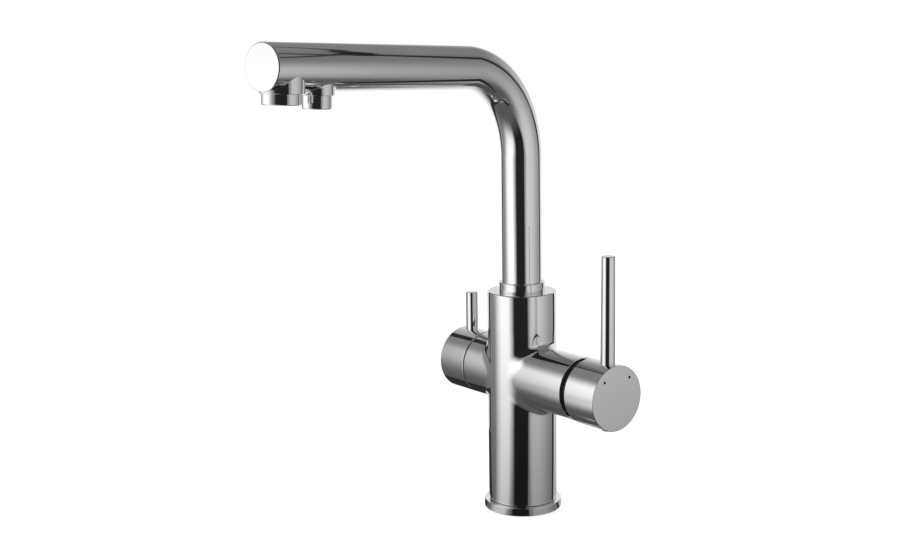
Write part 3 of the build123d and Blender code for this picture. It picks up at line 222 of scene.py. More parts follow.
# Foot gasket and every other seal: moulded EPDM rubber rings, pressed into grooves. The foot's ring
# is the only one seen, from below, where it keeps water out of the worktop's hole.


def moulded(name, colour, dark_colour, grain, relief_depth, rough, sockets=None):
    """A material whose colour, gloss and relief vary a little with a grain of so many millimetres."""
    material, tree = material_tree(name)
    coordinates = add(tree, "ShaderNodeTexCoord").outputs["Object"]
    fine = 1 / (grain * MM)
    speck = add(tree, "ShaderNodeTexNoise", {"Vector": coordinates, "Scale": fine, "Detail": 4})
    cloud = add(tree, "ShaderNodeTexNoise", {"Vector": coordinates, "Scale": 0.1 * fine, "Detail": 2})
    mixed = add(tree, "ShaderNodeMath", {0: speck, 1: cloud}, operation="MULTIPLY")
    shade = add(tree, "ShaderNodeMapRange", {"Value": mixed, "From Min": 0.12, "From Max": 0.42})
    colours = {"A": linear(dark_colour), "B": linear(colour)}
    tint = add(tree, "ShaderNodeMix", {"Factor": shade, **colours}, data_type="RGBA")
    gloss = add(tree, "ShaderNodeMapRange", {"Value": speck, "To Min": rough[0], "To Max": rough[1]})
    relief = add(tree, "ShaderNodeBump", {"Height": speck, "Strength": 0.5, "Distance": relief_depth * MM})
    values = {"Base Color": tint.outputs["Result"], "Roughness": gloss, "Normal": relief}
    shader = add(tree, "ShaderNodeBsdfPrincipled", {**values, **(sockets or {})})
    add(tree, "ShaderNodeOutputMaterial", {"Surface": shader})
    return material


def dress(material, *names):
    """Gives CAD nodes whose shape is right their real material."""
    for name in names:
        nodes[name].data.materials.clear()
        nodes[name].data.materials.append(material)


# EPDM rubber, moulded: near black, matt, with the faint bloom and grain of the mould.
rubber = moulded("epdm_rubber_moulded", "#242526", "#161617", 0.6, 0.02, (0.6, 0.8))
dress(
    rubber,
    "base_gasket",
    "inlet_seals",
    "stub_o_rings",
    "cartridge_base_seals",
    "headwork_body_o_ring",
    "headwork_seat_seal",
    "spout_o_rings",
    "filter_outlet_washer",
    "main_aerator_washer",
    "end_cap_o_ring",
    "rotor_o_ring",
    "headwork_spindle_o_ring",
)


# Body: one brass casting, a column with a branch on each side, filleted by hand on the buffing
# wheel, bored for the cartridge, the filter headwork and the spout, and chromed outside.

BODY_RADIUS = 24.0
BODY_TOP = 156.5
LEVER_AXIS = 97.6
MAIN_BRANCH_RADIUS = 21.6
MAIN_BRANCH_END = 61.9
FILTER_BRANCH_RADIUS = 22.3
FILTER_BRANCH_END = 38.35
BRANCH_FILLET = 5.0  # at the branch's top and foot
SIDE_FILLET = 25.0  # at its sides, where the buffing wheel leaves more
SIDE_BLEND = 6  # an even power; a higher one keeps the large fillet nearer the sides
CROSSING = 33.0  # half the height of the column's stretch that holds the two seams
CROSSING_STEPS = 64
SEAM_STEPS = 12  # faces across a fillet
SPREAD_STEPS = 14  # faces from a seam to the edge of its stretch
EDGE_BREAK = 0.35
BODY_TOP_ROUND = 0.9
BODY_FOOT_ROUND = 1.0
SPIGOT_BORE = 18.0
SPIGOT_FOOT = 2.0
SPIGOT_BREAK = 0.3
BLOCK_SEAT = 24.0  # height up to which the inlet block fills the foot
COLUMN_BORE = 15.14
COLUMN_SEAT = 146.0
BORE_BREAK = 0.2
SWIVEL_BORE = 12.04
SWIVEL_FLOOR = 124.0
CARTRIDGE_MOUTH = 18.6  # radius of the thread that holds the cartridge's nut
CARTRIDGE_SEAT = 52.0  # distances out along the levers' axis
CARTRIDGE_BORE = 17.6
CARTRIDGE_FLOOR = 30.0
HEADWORK_BORE = 12.5
HEADWORK_FLOOR = 16.0
FILTER_SEAM_BREAK = 0.6
SCREW_HEIGHT = 143.5  # of the hole in its back, for the screw that keeps the spout in
SCREW_HOLE = 2.6
DRILL_SIDES = 64
DRILL_PAST = 1.0  # how far a drill runs on past the walls it opens


def seam_rings(bar, branch, end_ball, side_ball, turns):
    """Rings of the fillet that a ball leaves, rolled round where a branch along X meets a bar along Z."""
    rings = [[] for _ in range(SEAM_STEPS + 1)]
    for turn in turns:
        ball = end_ball + (side_ball - end_ball) * sin(turn) ** SIDE_BLEND
        y, z = (branch + ball) * sin(turn), (branch + ball) * cos(turn)
        centre = Vector((sqrt((bar + ball) ** 2 - y * y), y, z))
        start = Vector((-centre.x, -y, 0)).normalized() * ball
        end = Vector((0, -sin(turn), -cos(turn))) * ball
        for k, ring in enumerate(rings):
            ring.append(centre + start.slerp(end, k / SEAM_STEPS) * ball)
    return rings


def branch_rings(points, turns):
    """Rings round a branch's own axis, from a profile of (radius, distance out)."""
    return [
        [Vector((x, r * sin(t), r * cos(t))) for t in turns] if r else [Vector((x, 0, 0))]
        for r, x in points
    ]


def branch_skin(shape, side, branch, points):
    """Half the column's crossing with one branch, its fillet, and the branch's own profile."""
    quarter = SIDES // 4
    across = [radians(90) * i / quarter for i in range(quarter)]
    up = [CROSSING * (1 - 2 * i / CROSSING_STEPS) for i in range(CROSSING_STEPS)]
    edge = [(a, CROSSING) for a in across] + [(radians(90), z) for z in up]
    edge += [(radians(90) - a, -CROSSING) for a in across] + [(-a, -CROSSING) for a in across]
    edge += [(radians(-90), -z) for z in up] + [(a - radians(90), CROSSING) for a in across]
    turns = [atan2(BODY_RADIUS * a, z) for a, z in edge]
    seam = seam_rings(BODY_RADIUS, branch, BRANCH_FILLET, SIDE_FILLET, turns)
    contact = [(atan2(p.y, p.x), p.z) for p in seam[0]]
    spread = []
    for k in range(SPREAD_STEPS, 0, -1):
        share = k / SPREAD_STEPS
        ring = []
        for (a, z), (a_seam, z_seam) in zip(edge, contact):
            turn = a_seam + (a - a_seam) * share
            ring.append(
                Vector((BODY_RADIUS * cos(turn), BODY_RADIUS * sin(turn), z_seam + (z - z_seam) * share))
            )
        spread.append(ring)
    place = Matrix.Translation((0, 0, LEVER_AXIS)) @ Matrix.Diagonal((side, 1, 1, 1))
    skin(shape, spread + seam + branch_rings(points, turns), place)


def drilled(piece, place, radius, start, end):
    """Bores a plain hole in a finished piece, along place's Z axis between two heights."""
    bore_shape = bmesh.new()
    skin(bore_shape, turned([(0, start), (radius, start), (radius, end), (0, end)], DRILL_SIDES), place)
    drill = finished("drill", bore_shape, chrome)
    cut = piece.modifiers.new("drilled", "BOOLEAN")
    cut.object = drill
    graph = bpy.context.evaluated_depsgraph_get()
    piece.data = bpy.data.meshes.new_from_object(piece.evaluated_get(graph))
    piece.data.set_sharp_from_angle(angle=radians(EDGE_ANGLE))
    piece.modifiers.remove(cut)
    bpy.data.objects.remove(drill)


body_shape = bmesh.new()
foot = rounded(
    (0, BLOCK_SEAT),
    (SPIGOT_BORE, BLOCK_SEAT),
    (SPIGOT_BORE, SPIGOT_FOOT, SPIGOT_BREAK),
    (SPIGOT_RADIUS, SPIGOT_FOOT, SPIGOT_BREAK),
    (SPIGOT_RADIUS, FLANGE_TOP),
    (BODY_RADIUS, FLANGE_TOP, BODY_FOOT_ROUND),
    (BODY_RADIUS, LEVER_AXIS - CROSSING),
)
skin(body_shape, turned(foot))
head = rounded(
    (BODY_RADIUS, LEVER_AXIS + CROSSING),
    (BODY_RADIUS, BODY_TOP, BODY_TOP_ROUND),
    (COLUMN_BORE, BODY_TOP, BORE_BREAK),
    (COLUMN_BORE, COLUMN_SEAT),
    (SWIVEL_BORE, COLUMN_SEAT),
    (SWIVEL_BORE, SWIVEL_FLOOR),
    (0, SWIVEL_FLOOR),
)
skin(body_shape, turned(head))
reach_out = BODY_RADIUS + BRANCH_FILLET + 1
main_profile = rounded(
    (MAIN_BRANCH_RADIUS, reach_out),
    (MAIN_BRANCH_RADIUS, MAIN_BRANCH_END, EDGE_BREAK),
    (CARTRIDGE_MOUTH, MAIN_BRANCH_END, EDGE_BREAK),
    (CARTRIDGE_MOUTH, CARTRIDGE_SEAT),
    (CARTRIDGE_BORE, CARTRIDGE_SEAT),
    (CARTRIDGE_BORE, CARTRIDGE_FLOOR),
    (0, CARTRIDGE_FLOOR),
)
branch_skin(body_shape, 1, MAIN_BRANCH_RADIUS, main_profile)
filter_profile = rounded(
    (FILTER_BRANCH_RADIUS, reach_out),
    (FILTER_BRANCH_RADIUS, FILTER_BRANCH_END, FILTER_SEAM_BREAK),
    (HEADWORK_BORE, FILTER_BRANCH_END, BORE_BREAK),
    (HEADWORK_BORE, HEADWORK_FLOOR),
    (0, HEADWORK_FLOOR),
)
branch_skin(body_shape, -1, FILTER_BRANCH_RADIUS, filter_profile)
body = finished("body_casting", body_shape, chrome)
backwards = Matrix.Translation((0, 0, SCREW_HEIGHT)) @ Matrix.Rotation(radians(-90), 4, "X")
drilled(body, backwards, SCREW_HOLE, SWIVEL_BORE - DRILL_PAST, BODY_RADIUS + DRILL_PAST)
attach(body, "tap_body")
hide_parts("main_body")


# Inlet block: a turned brass plug in the foot with the hot, cold and filtered inlets and the stud's
# hole. Two stainless cap screws hold it up against its ring seals.

TURNING_MARK = 0.45  # mm between tool marks; real ones are finer, drawn this coarse so that they show
STAIN_GRAIN = 6.25  # mm across a stain

# CW617N brass, turned and left bare: warm yellow, satin, ringed with fine tool marks.
brass, tree = material_tree("brass_turned")
coordinates = add(tree, "ShaderNodeTexCoord").outputs["Object"]
marks = add(
    tree,
    "ShaderNodeTexWave",
    {"Vector": coordinates, "Scale": 2 * pi / (20 * TURNING_MARK * MM), "Distortion": 0.4, "Detail": 1},
    wave_type="RINGS",
    rings_direction="Z",
)
stain = add(
    tree, "ShaderNodeTexNoise", {"Vector": coordinates, "Scale": 1 / (STAIN_GRAIN * MM), "Detail": 4}
)
colours = {"A": linear("#B98F4C"), "B": linear("#D9B56B")}
tint = add(tree, "ShaderNodeMix", {"Factor": stain, **colours}, data_type="RGBA")
gloss = add(tree, "ShaderNodeMapRange", {"Value": stain, "To Min": 0.22, "To Max": 0.42})
relief = add(tree, "ShaderNodeBump", {"Height": marks, "Strength": 0.3, "Distance": 0.02 * MM})
shader = add(
    tree,
    "ShaderNodeBsdfPrincipled",
    {"Base Color": tint.outputs["Result"], "Metallic": 1.0, "Roughness": gloss, "Normal": relief},
)
add(tree, "ShaderNodeOutputMaterial", {"Surface": shader})
dress(
    brass,
    "inlet_block",
    "spout_base_insert",
    "filtered_tube_socket",
    "filtered_water_stub",
    "filter_outlet_adapter",
    "cartridge_retaining_nut",
    "headwork_housing",
    "cartridge_spindle",
    "headwork_spindle",
)

# A2 stainless steel, cold headed: grey, satin, with a fine grain from tumbling.
steel = moulded(
    "stainless_steel_tumbled", "#B4B5B6", "#8E9092", 0.3, 0.01, (0.25, 0.42), {"Metallic": 1.0}
)
dress(
    steel,
    "inlet_block_screws",
    "spout_retaining_screw",
    "spindle_pivot_pin",
    "handle_grub_screw",
    "filter_grub_screw",
    "main_aerator_screen",
)


# Spout collar: a chromed ring nut screwed into the body's top, in which the spout turns.

COLLAR_BORE = 14.04
COLLAR_RADIUS = 16.04
COLLAR_THREAD = 15.04
COLLAR_FOOT = 151.0
COLLAR_TOP = 163.0
COLLAR_ROUND = 0.5
COLLAR_BREAK = 0.15
collar = lathe(
    "spout_collar_nut",
    chrome,
    Matrix(),
    rounded(
        (COLLAR_BORE, COLLAR_FOOT),
        (COLLAR_THREAD, COLLAR_FOOT),
        (COLLAR_THREAD, BODY_TOP),
        (COLLAR_RADIUS, BODY_TOP, COLLAR_BREAK),
        (COLLAR_RADIUS, COLLAR_TOP, COLLAR_ROUND),
        (COLLAR_BORE, COLLAR_TOP, BORE_BREAK),
    ),
)
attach(collar, "tap_body")
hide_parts("spout_collar")


# Swivel and valve insides: acetal rings that the spout turns in, the small tube for the filtered
# water, the mixing cartridge's can, rotor and disc driver, and the ceramic discs. All keep their CAD
# shape, because nothing of them is seen on a tap that is put together.

# Acetal, injection moulded: milky white, waxy, slightly mottled.
acetal = moulded("acetal_moulded", "#EDECE6", "#DDDBD2", 0.8, 0.01, (0.32, 0.45), {"IOR": 1.48})
dress(acetal, "lower_swivel_bush", "upper_swivel_bush", "filtered_water_tube")
dress(acetal, "filter_flow_insert", "main_aerator_insert")

# Glass-filled PPS, injection moulded: charcoal, satin, with pale fibre specks.
pps = moulded("glass_filled_pps_moulded", "#232427", "#121315", 0.35, 0.02, (0.38, 0.55), {"IOR": 1.6})
dress(pps, "cartridge_housing", "cartridge_rotor", "disc_carrier")

# Alumina ceramic, lapped: ivory white, dense, satin where the discs slide.
alumina = moulded("alumina_ceramic_lapped", "#EFEDE6", "#E2DFD4", 0.5, 0.004, (0.15, 0.26), {"IOR": 1.76})
dress(alumina, "cartridge_fixed_disc", "cartridge_moving_disc")
dress(alumina, "headwork_fixed_disc", "headwork_moving_disc")


# Dome over the cartridge: a thin brass ring pressed to part of a ball and chromed. It shows as the
# dark ring in the groove behind the main lever's barrel, which it lets tilt.

PIVOT = 60.0  # the ball's centre, along the levers' axis
DOME_OUTER = 19.2
DOME_INNER = 18.0
DOME_OPENING = 12.0
DOME_FOOT = 1.9
SKIRT_OUTER = 18.5
SKIRT_INNER = 17.3
SKIRT_FOOT = -2.3
ARC_POINTS = 24
along_levers = Matrix.Translation((0, 0, LEVER_AXIS)) @ Matrix.Rotation(radians(90), 4, "Y")
along_filter = Matrix.Translation((0, 0, LEVER_AXIS)) @ Matrix.Rotation(radians(-90), 4, "Y")


def bow(radius, first, last):
    """Points of an arc about the pivot between two distances out along the levers' axis."""
    heights = [first + (last - first) * k / ARC_POINTS for k in range(ARC_POINTS + 1)]
    return [(sqrt(radius**2 - h**2), PIVOT + h) for h in heights]


# Chromium over nickel, satin, with its colour darkened to dark grey as painted shade of the groove, so the
# groove reads as a shadow.
groove_shade_chrome = moulded(
    "chromium_plate_darkened_as_groove_shade", "#5C5D5F", "#434446", 0.5, 0.01, (0.3, 0.45), {"Metallic": 1.0}
)

outer_lip = sqrt(DOME_OUTER**2 - DOME_OPENING**2)
inner_lip = sqrt(DOME_INNER**2 - DOME_OPENING**2)
# Drawn in the darkened chrome: its dark grey is painted shade of the groove.
dome = lathe(
    "cartridge_dome",
    groove_shade_chrome,
    along_levers,
    [(SKIRT_INNER, PIVOT + SKIRT_FOOT), (SKIRT_OUTER, PIVOT + SKIRT_FOOT), (SKIRT_OUTER, PIVOT + DOME_FOOT)]
    + bow(DOME_OUTER, DOME_FOOT, outer_lip)
    + bow(DOME_INNER, inner_lip, DOME_FOOT)
    + [(SKIRT_INNER, PIVOT + DOME_FOOT)],
)
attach(dome, "tap_body")
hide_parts("dome_cover")


# Spout: a 28 mm brass tube, mandrel bent once, set in the collar so that it turns. Its centreline
# goes up, round the bend, and out along an arm that rises a little; Geometry Nodes sweep it.

SPOUT_HEADING = radians(-77.3)
ARM_SLOPE = radians(3)
ARM_HEIGHT = 310.1
ARM_LENGTH = 243.6
TUBE_RADIUS = 13.97
TUBE_WALL = 1.0
BEND_RADIUS = 64.0
BEND_STEPS = 128
TUBE_FOOT = 152.1
CAP_THICKNESS = 1.2


def new_tree(name, *inputs):
    """A Geometry Nodes tree with named inputs, its group input and its output."""
    tree = bpy.data.node_groups.new(name, "GeometryNodeTree")
    for label, kind in inputs:
        tree.interface.new_socket(label, in_out="INPUT", socket_type=kind)
    tree.interface.new_socket("Geometry", in_out="OUTPUT", socket_type="NodeSocketGeometry")
    return tree, tree.nodes.new("NodeGroupInput").outputs


def grown(name, tree, values, material, *finishes):
    """The mesh that a tree and the modifiers after it make from the named values."""
    seed = bpy.data.objects.new(name, bpy.data.meshes.new(name))
    bpy.context.scene.collection.objects.link(seed)
    modifier = seed.modifiers.new("grow", "NODES")
    modifier.node_group = tree
    for item in tree.interface.items_tree:
        if item.in_out == "INPUT" and item.name in values:
            modifier[item.identifier] = values[item.name]
    for kind, settings in finishes:
        extra = seed.modifiers.new(kind, kind)
        for key, value in settings.items():
            setattr(extra, key, value)
    graph = bpy.context.evaluated_depsgraph_get()
    mesh = bpy.data.meshes.new_from_object(seed.evaluated_get(graph))
    bpy.data.objects.remove(seed)
    return mesh


tree, given = new_tree(
    "bent_tube",
    ("Foot", "NodeSocketVector"),
    ("Corner", "NodeSocketVector"),
    ("Arm End", "NodeSocketVector"),
    ("Bend Radius", "NodeSocketFloat"),
    ("Bend Steps", "NodeSocketInt"),
    ("Tube Radius", "NodeSocketFloat"),
    ("Sides", "NodeSocketInt"),
    ("Material", "NodeSocketMaterial"),
)
upright = add(tree, "GeometryNodeCurvePrimitiveLine", {"Start": given["Foot"], "End": given["Corner"]})
outward = add(tree, "GeometryNodeCurvePrimitiveLine", {"Start": given["Corner"], "End": given["Arm End"]})
both = add(tree, "GeometryNodeJoinGeometry", {0: upright})
tree.links.new(outward.outputs[0], both.inputs[0])
edges = add(tree, "GeometryNodeCurveToMesh", {"Curve": both})
chain = add(tree, "GeometryNodeMergeByDistance", {"Geometry": edges})
path = add(tree, "GeometryNodeMeshToCurve", {"Mesh": chain})
bent = add(
    tree,
    "GeometryNodeFilletCurve",
    {"Curve": path, "Count": given["Bend Steps"], "Radius": given["Bend Radius"]},
    mode="POLY",
)
section = add(
    tree, "GeometryNodeCurvePrimitiveCircle", {"Resolution": given["Sides"], "Radius": given["Tube Radius"]}
)
swept = add(tree, "GeometryNodeCurveToMesh", {"Curve": bent, "Profile Curve": section.outputs["Curve"]})
real = add(tree, "GeometryNodeRealizeInstances", {"Geometry": swept})
painted = add(tree, "GeometryNodeSetMaterial", {"Geometry": real, "Material": given["Material"]})
add(tree, "NodeGroupOutput", {0: painted})

arm_direction = Vector(
    (cos(ARM_SLOPE) * cos(SPOUT_HEADING), cos(ARM_SLOPE) * sin(SPOUT_HEADING), sin(ARM_SLOPE))
)
corner = Vector((0, 0, ARM_HEIGHT))
tube_mesh = grown(
    "spout_tube_bent",
    tree,
    {
        "Foot": Vector((0, 0, TUBE_FOOT)) * MM,
        "Corner": corner * MM,
        "Arm End": (corner + arm_direction * (ARM_LENGTH - CAP_THICKNESS)) * MM,
        "Bend Radius": BEND_RADIUS * MM,
        "Bend Steps": BEND_STEPS,
        "Tube Radius": TUBE_RADIUS * MM,
        "Sides": SIDES,
        "Material": chrome,
    },
    chrome,
    ("SOLIDIFY", {"thickness": TUBE_WALL * MM, "offset": -1.0, "use_even_offset": True}),
)
tube = show("spout_tube_bent", tube_mesh, chrome)
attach(tube, "spout")
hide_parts("spout_tube")


# Outlet bosses: two short brass cups brazed under the arm and blended into the tube by polishing.
# Each ends in a thread for its outlet ring.

MAIN_OUTLET = 228.0  # along the arm, from the column
FILTER_OUTLET = 199.0
MAIN_BOSS_RADIUS = 12.95
MAIN_BOSS_DROP = 14.9
MAIN_BOSS_SET_BACK = 0.6
FILTER_BOSS_RADIUS = 10.27
FILTER_BOSS_DROP = 16.1
BOSS_EDGE = 0.2
BOSS_START = 0.02  # clear of the seam's last ring
THREAD_START = 1.0  # above the boss's mouth


def on_arm(distance):
    """A place on the arm's centreline, with X out along the arm and Z square to it, up."""
    rise = Matrix.Rotation(SPOUT_HEADING, 4, "Z") @ Matrix.Rotation(-ARM_SLOPE, 4, "Y")
    return Matrix.Translation(corner + arm_direction * distance) @ rise


def boss(name, place, radius, drop, ball, bore):
    """A cup that grows out of the tube, closed inside the tube's wall."""
    shape = bmesh.new()
    turns = [2 * pi * i / SIDES for i in range(SIDES)]
    seam = seam_rings(TUBE_RADIUS, radius, ball, ball, turns)
    cup = rounded(
        (radius, TUBE_RADIUS + ball + BOSS_START),
        (radius, drop, BOSS_EDGE),
        (bore, drop, BOSS_EDGE),
        (bore, drop - THREAD_START),
    )
    inside = TUBE_RADIUS - TUBE_WALL / 2
    mouth = [
        Vector((sqrt(inside**2 - (bore * sin(t)) ** 2), bore * sin(t), bore * cos(t))) for t in turns
    ]
    rings = seam + branch_rings(cup, turns) + [mouth]
    skin(shape, rings + rings[:1], place @ Matrix.Rotation(radians(90), 4, "Y"))
    piece = finished(name, shape, chrome)
    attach(piece, "spout")
    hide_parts("spout_tube")


boss(
    "main_outlet_boss",
    on_arm(MAIN_OUTLET - MAIN_BOSS_SET_BACK),
    MAIN_BOSS_RADIUS,
    MAIN_BOSS_DROP,
    ball=0.4,
    bore=9.9,
)
boss(
    "filter_outlet_boss",
    on_arm(FILTER_OUTLET),
    FILTER_BOSS_RADIUS,
    FILTER_BOSS_DROP,
    ball=1.6,
    bore=7.67,
)


# Outlet rings: chromed brass rings screwed up into the bosses. Each holds a moulded acetal insert
# with round jets; Geometry Nodes set a raised lip round every jet.

MAIN_RING_RADIUS = 11.37
MAIN_RING_LOW = -21.3
MAIN_RING_HIGH = -14.9
FILTER_RING_RADIUS = 8.77
FILTER_RING_LOW = -24.1
FILTER_RING_HIGH = -16.1
RING_CHAMFER = 0.4
RING_BREAK = 0.12
RING_TOP_BREAK = 0.06
THREAD_LENGTH = 5.0
INSERT_RECESS = 0.5
INSERT_HEIGHT = 6.0
JET_DIAMETER = 1.5
JET_PITCH = 2.4
JET_LIP = 0.22  # radius of the lip's wire
JET_ROWS = 4
JET_SIDES = 32
LIP_SIDES = 10


def outlet_ring(name, node, place, radius, low, high, bore, insert, thread):
    """A ring with a chamfered foot, its thread above, and the insert's seat inside."""
    seat = low + INSERT_RECESS + INSERT_HEIGHT
    piece = lathe(
        name,
        chrome,
        place,
        rounded(
            (insert + FIT, low, RING_BREAK),
            (radius - RING_CHAMFER, low, RING_BREAK),
            (radius, low + RING_CHAMFER, RING_BREAK),
            (radius, high - RING_CHAMFER / 2, RING_TOP_BREAK),
            (radius - RING_CHAMFER / 2, high, RING_TOP_BREAK),
            (thread, high),
            (thread, high + THREAD_LENGTH),
            (bore, high + THREAD_LENGTH),
            (bore, seat),
            (insert + FIT, seat),
        ),
    )
    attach(piece, "spout")
    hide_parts(node)


outlet_ring(
    "mixed_water_ring",
    "main_aerator_ring",
    on_arm(MAIN_OUTLET),
    MAIN_RING_RADIUS,
    MAIN_RING_LOW,
    MAIN_RING_HIGH,
    bore=8.67,
    insert=9.12,
    thread=9.77,
)
outlet_ring(
    "filtered_water_ring",
    "filter_outlet_ring",
    on_arm(FILTER_OUTLET),
    FILTER_RING_RADIUS,
    FILTER_RING_LOW,
    FILTER_RING_HIGH,
    bore=5.27,
    insert=5.72,
    thread=6.37,
)

tree, given = new_tree(
    "jet_lips",
    ("Pitch", "NodeSocketFloat"),
    ("Rows", "NodeSocketInt"),
    ("Reach", "NodeSocketFloat"),
    ("Jet Radius", "NodeSocketFloat"),
    ("Lip Radius", "NodeSocketFloat"),
    ("Material", "NodeSocketMaterial"),
)
count = add(tree, "ShaderNodeMath", {0: given["Rows"], 1: 2.0, 2: 1.0}, operation="MULTIPLY_ADD")
grid = add(tree, "GeometryNodeMeshGrid", {"Vertices X": count, "Vertices Y": count})
index = add(tree, "GeometryNodeInputIndex")
share = add(tree, "ShaderNodeMath", {0: index, 1: count}, operation="DIVIDE")
line = add(tree, "ShaderNodeMath", {0: share}, operation="FLOOR")
row = add(tree, "ShaderNodeMath", {0: line, 1: given["Rows"]}, operation="SUBTRACT")
rest = add(tree, "ShaderNodeMath", {0: index, 1: count}, operation="MODULO")
column = add(tree, "ShaderNodeMath", {0: rest, 1: given["Rows"]}, operation="SUBTRACT")
shifted = add(tree, "ShaderNodeMath", {0: row, 1: 0.5, 2: column}, operation="MULTIPLY_ADD")
hex_row = add(tree, "ShaderNodeMath", {0: row, 1: cos(radians(30))}, operation="MULTIPLY")
spot = add(tree, "ShaderNodeCombineXYZ", {"X": shifted, "Y": hex_row})
spaced = add(tree, "ShaderNodeVectorMath", {0: spot, "Scale": given["Pitch"]}, operation="SCALE")
placed = add(tree, "GeometryNodeSetPosition", {"Geometry": grid, "Position": spaced})
distance = add(tree, "ShaderNodeVectorMath", {0: spaced}, operation="LENGTH")
outside = add(
    tree,
    "FunctionNodeCompare",
    {"A": distance.outputs["Value"], "B": given["Reach"]},
    operation="GREATER_THAN",
)
kept = add(tree, "GeometryNodeDeleteGeometry", {"Geometry": placed, "Selection": outside}, domain="POINT")
lip_path = add(
    tree, "GeometryNodeCurvePrimitiveCircle", {"Resolution": JET_SIDES, "Radius": given["Jet Radius"]}
)
lip_wire = add(
    tree, "GeometryNodeCurvePrimitiveCircle", {"Resolution": LIP_SIDES, "Radius": given["Lip Radius"]}
)
lip = add(
    tree,
    "GeometryNodeCurveToMesh",
    {"Curve": lip_path.outputs["Curve"], "Profile Curve": lip_wire.outputs["Curve"]},
)
lips = add(tree, "GeometryNodeInstanceOnPoints", {"Points": kept, "Instance": lip})
real = add(tree, "GeometryNodeRealizeInstances", {"Geometry": lips})
painted = add(tree, "GeometryNodeSetMaterial", {"Geometry": real, "Material": given["Material"]})
add(tree, "NodeGroupOutput", {0: painted})

for name, place, low, reach in (
    ("mixed_water_jets", on_arm(MAIN_OUTLET), MAIN_RING_LOW, 7.17),
    ("filtered_water_jets", on_arm(FILTER_OUTLET), FILTER_RING_LOW, 3.77),
):
    jets = grown(
        name,
        tree,
        {
            "Pitch": JET_PITCH * MM,
            "Rows": JET_ROWS,
            "Reach": reach * MM,
            "Jet Radius": (JET_DIAMETER / 2 + JET_LIP) * MM,
            "Lip Radius": JET_LIP * MM,
            "Material": acetal,
        },
        acetal,
    )
    face = place @ Matrix.Translation((0, 0, low + INSERT_RECESS))
    face.translation *= MM
    jets.transform(face)
    piece = show(name, jets, acetal)
    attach(piece, "spout")


# End cap: a flat polished brass disc on a grooved plug, pushed into the arm's open end on a ring
# seal. Its face is a mirror.

CAP_ROUND = 0.8
CAP_BREAK = 0.06
PLUG_RADIUS = 12.87
PLUG_END = -4.8
SEAL_SEAT_RADIUS = 11.22
SEAL_SEAT_START = -1.6
SEAL_SEAT_END = -4.3
cap = lathe(
    "arm_end_cap",
    chrome,
    on_arm(ARM_LENGTH) @ Matrix.Rotation(radians(90), 4, "Y"),
    rounded(
        (0, 0),
        (TUBE_RADIUS, 0, CAP_ROUND),
        (TUBE_RADIUS, -CAP_THICKNESS, CAP_BREAK),
        (PLUG_RADIUS, -CAP_THICKNESS),
        (PLUG_RADIUS, SEAL_SEAT_START),
        (SEAL_SEAT_RADIUS, SEAL_SEAT_START),
        (SEAL_SEAT_RADIUS, SEAL_SEAT_END),
        (PLUG_RADIUS, SEAL_SEAT_END),
        (PLUG_RADIUS, PLUG_END),
        (0, PLUG_END),
    ),
)
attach(cap, "spout")
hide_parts("spout_end_cap")


# Main lever: a hollow barrel turned from brass bar with a flat polished end, a tapered pin screwed
# into its hub, a plug over its grub screw, and two enamel dots let into the end.

BARREL_ROUND = 0.5
START_ROUND = 0.55
START_BREAK = 0.15
HUB_RADIUS = 9.5
HUB_BORE = 5.8
BARREL_END = 3.5
PIN_ROUND = 0.6
PLUG_HOLE = 4.35


def barrel(name, node, body_name, place, radius, bore, start, end, hub, pin_place):
    """A lever's barrel, its distances measured out from the column's axis."""
    floor = end - BARREL_END
    piece = lathe(
        name,
        chrome,
        place,
        rounded(
            (0, end),
            (radius, end, BARREL_ROUND),
            (radius, start, START_ROUND),
            (bore, start, START_BREAK),
            (bore, floor),
            (HUB_RADIUS, floor),
            (HUB_RADIUS, floor - hub),
            (HUB_BORE, floor - hub),
            (HUB_BORE, floor),
            (0, floor),
        ),
    )
    under = Matrix.Translation((pin_place, 0, LEVER_AXIS))
    drilled(piece, under, PLUG_HOLE, -radius - DRILL_PAST, DRILL_PAST - bore)
    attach(piece, body_name)
    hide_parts(node)


def pin(name, node, body_name, x, foot, head, low, top):
    """A lever's pin, standing on the barrel's seat, its foot and head given as diameters."""
    piece = lathe(
        name,
        chrome,
        Matrix.Translation((x, 0, 0)),
        rounded((0, top), (head / 2, top, PIN_ROUND), (foot / 2, low), (0, low)),
    )
    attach(piece, body_name)
    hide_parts(node)


MAIN_PIN_PLACE = 85.6
barrel(
    "main_lever_barrel",
    "main_handle_barrel",
    "main_lever",
    along_levers,
    radius=22.25,
    bore=19.95,
    start=67.06,
    end=94.46,
    hub=10,
    pin_place=MAIN_PIN_PLACE,
)
pin(
    "main_lever_rod",
    "main_lever_pin",
    "main_lever",
    MAIN_PIN_PLACE,
    foot=9.8,
    head=9.1,
    low=118.4,
    top=191.6,
)

# ABS, moulded and painted silver: pale grey with a soft sheen and a fine metallic grain.
painted_abs = moulded(
    "silver_painted_abs", "#C9CACC", "#B4B6B9", 0.25, 0.005, (0.25, 0.35), {"Metallic": 0.2}
)
dress(painted_abs, "lever_screw_plug", "filter_screw_plug")

# Stove enamel, filled into the drilled marks: dark grey, glossy, slightly dished.
enamel = moulded("stove_enamel_grey", "#505153", "#3E3F41", 0.4, 0.004, (0.12, 0.2))
dress(enamel, "index_dots")
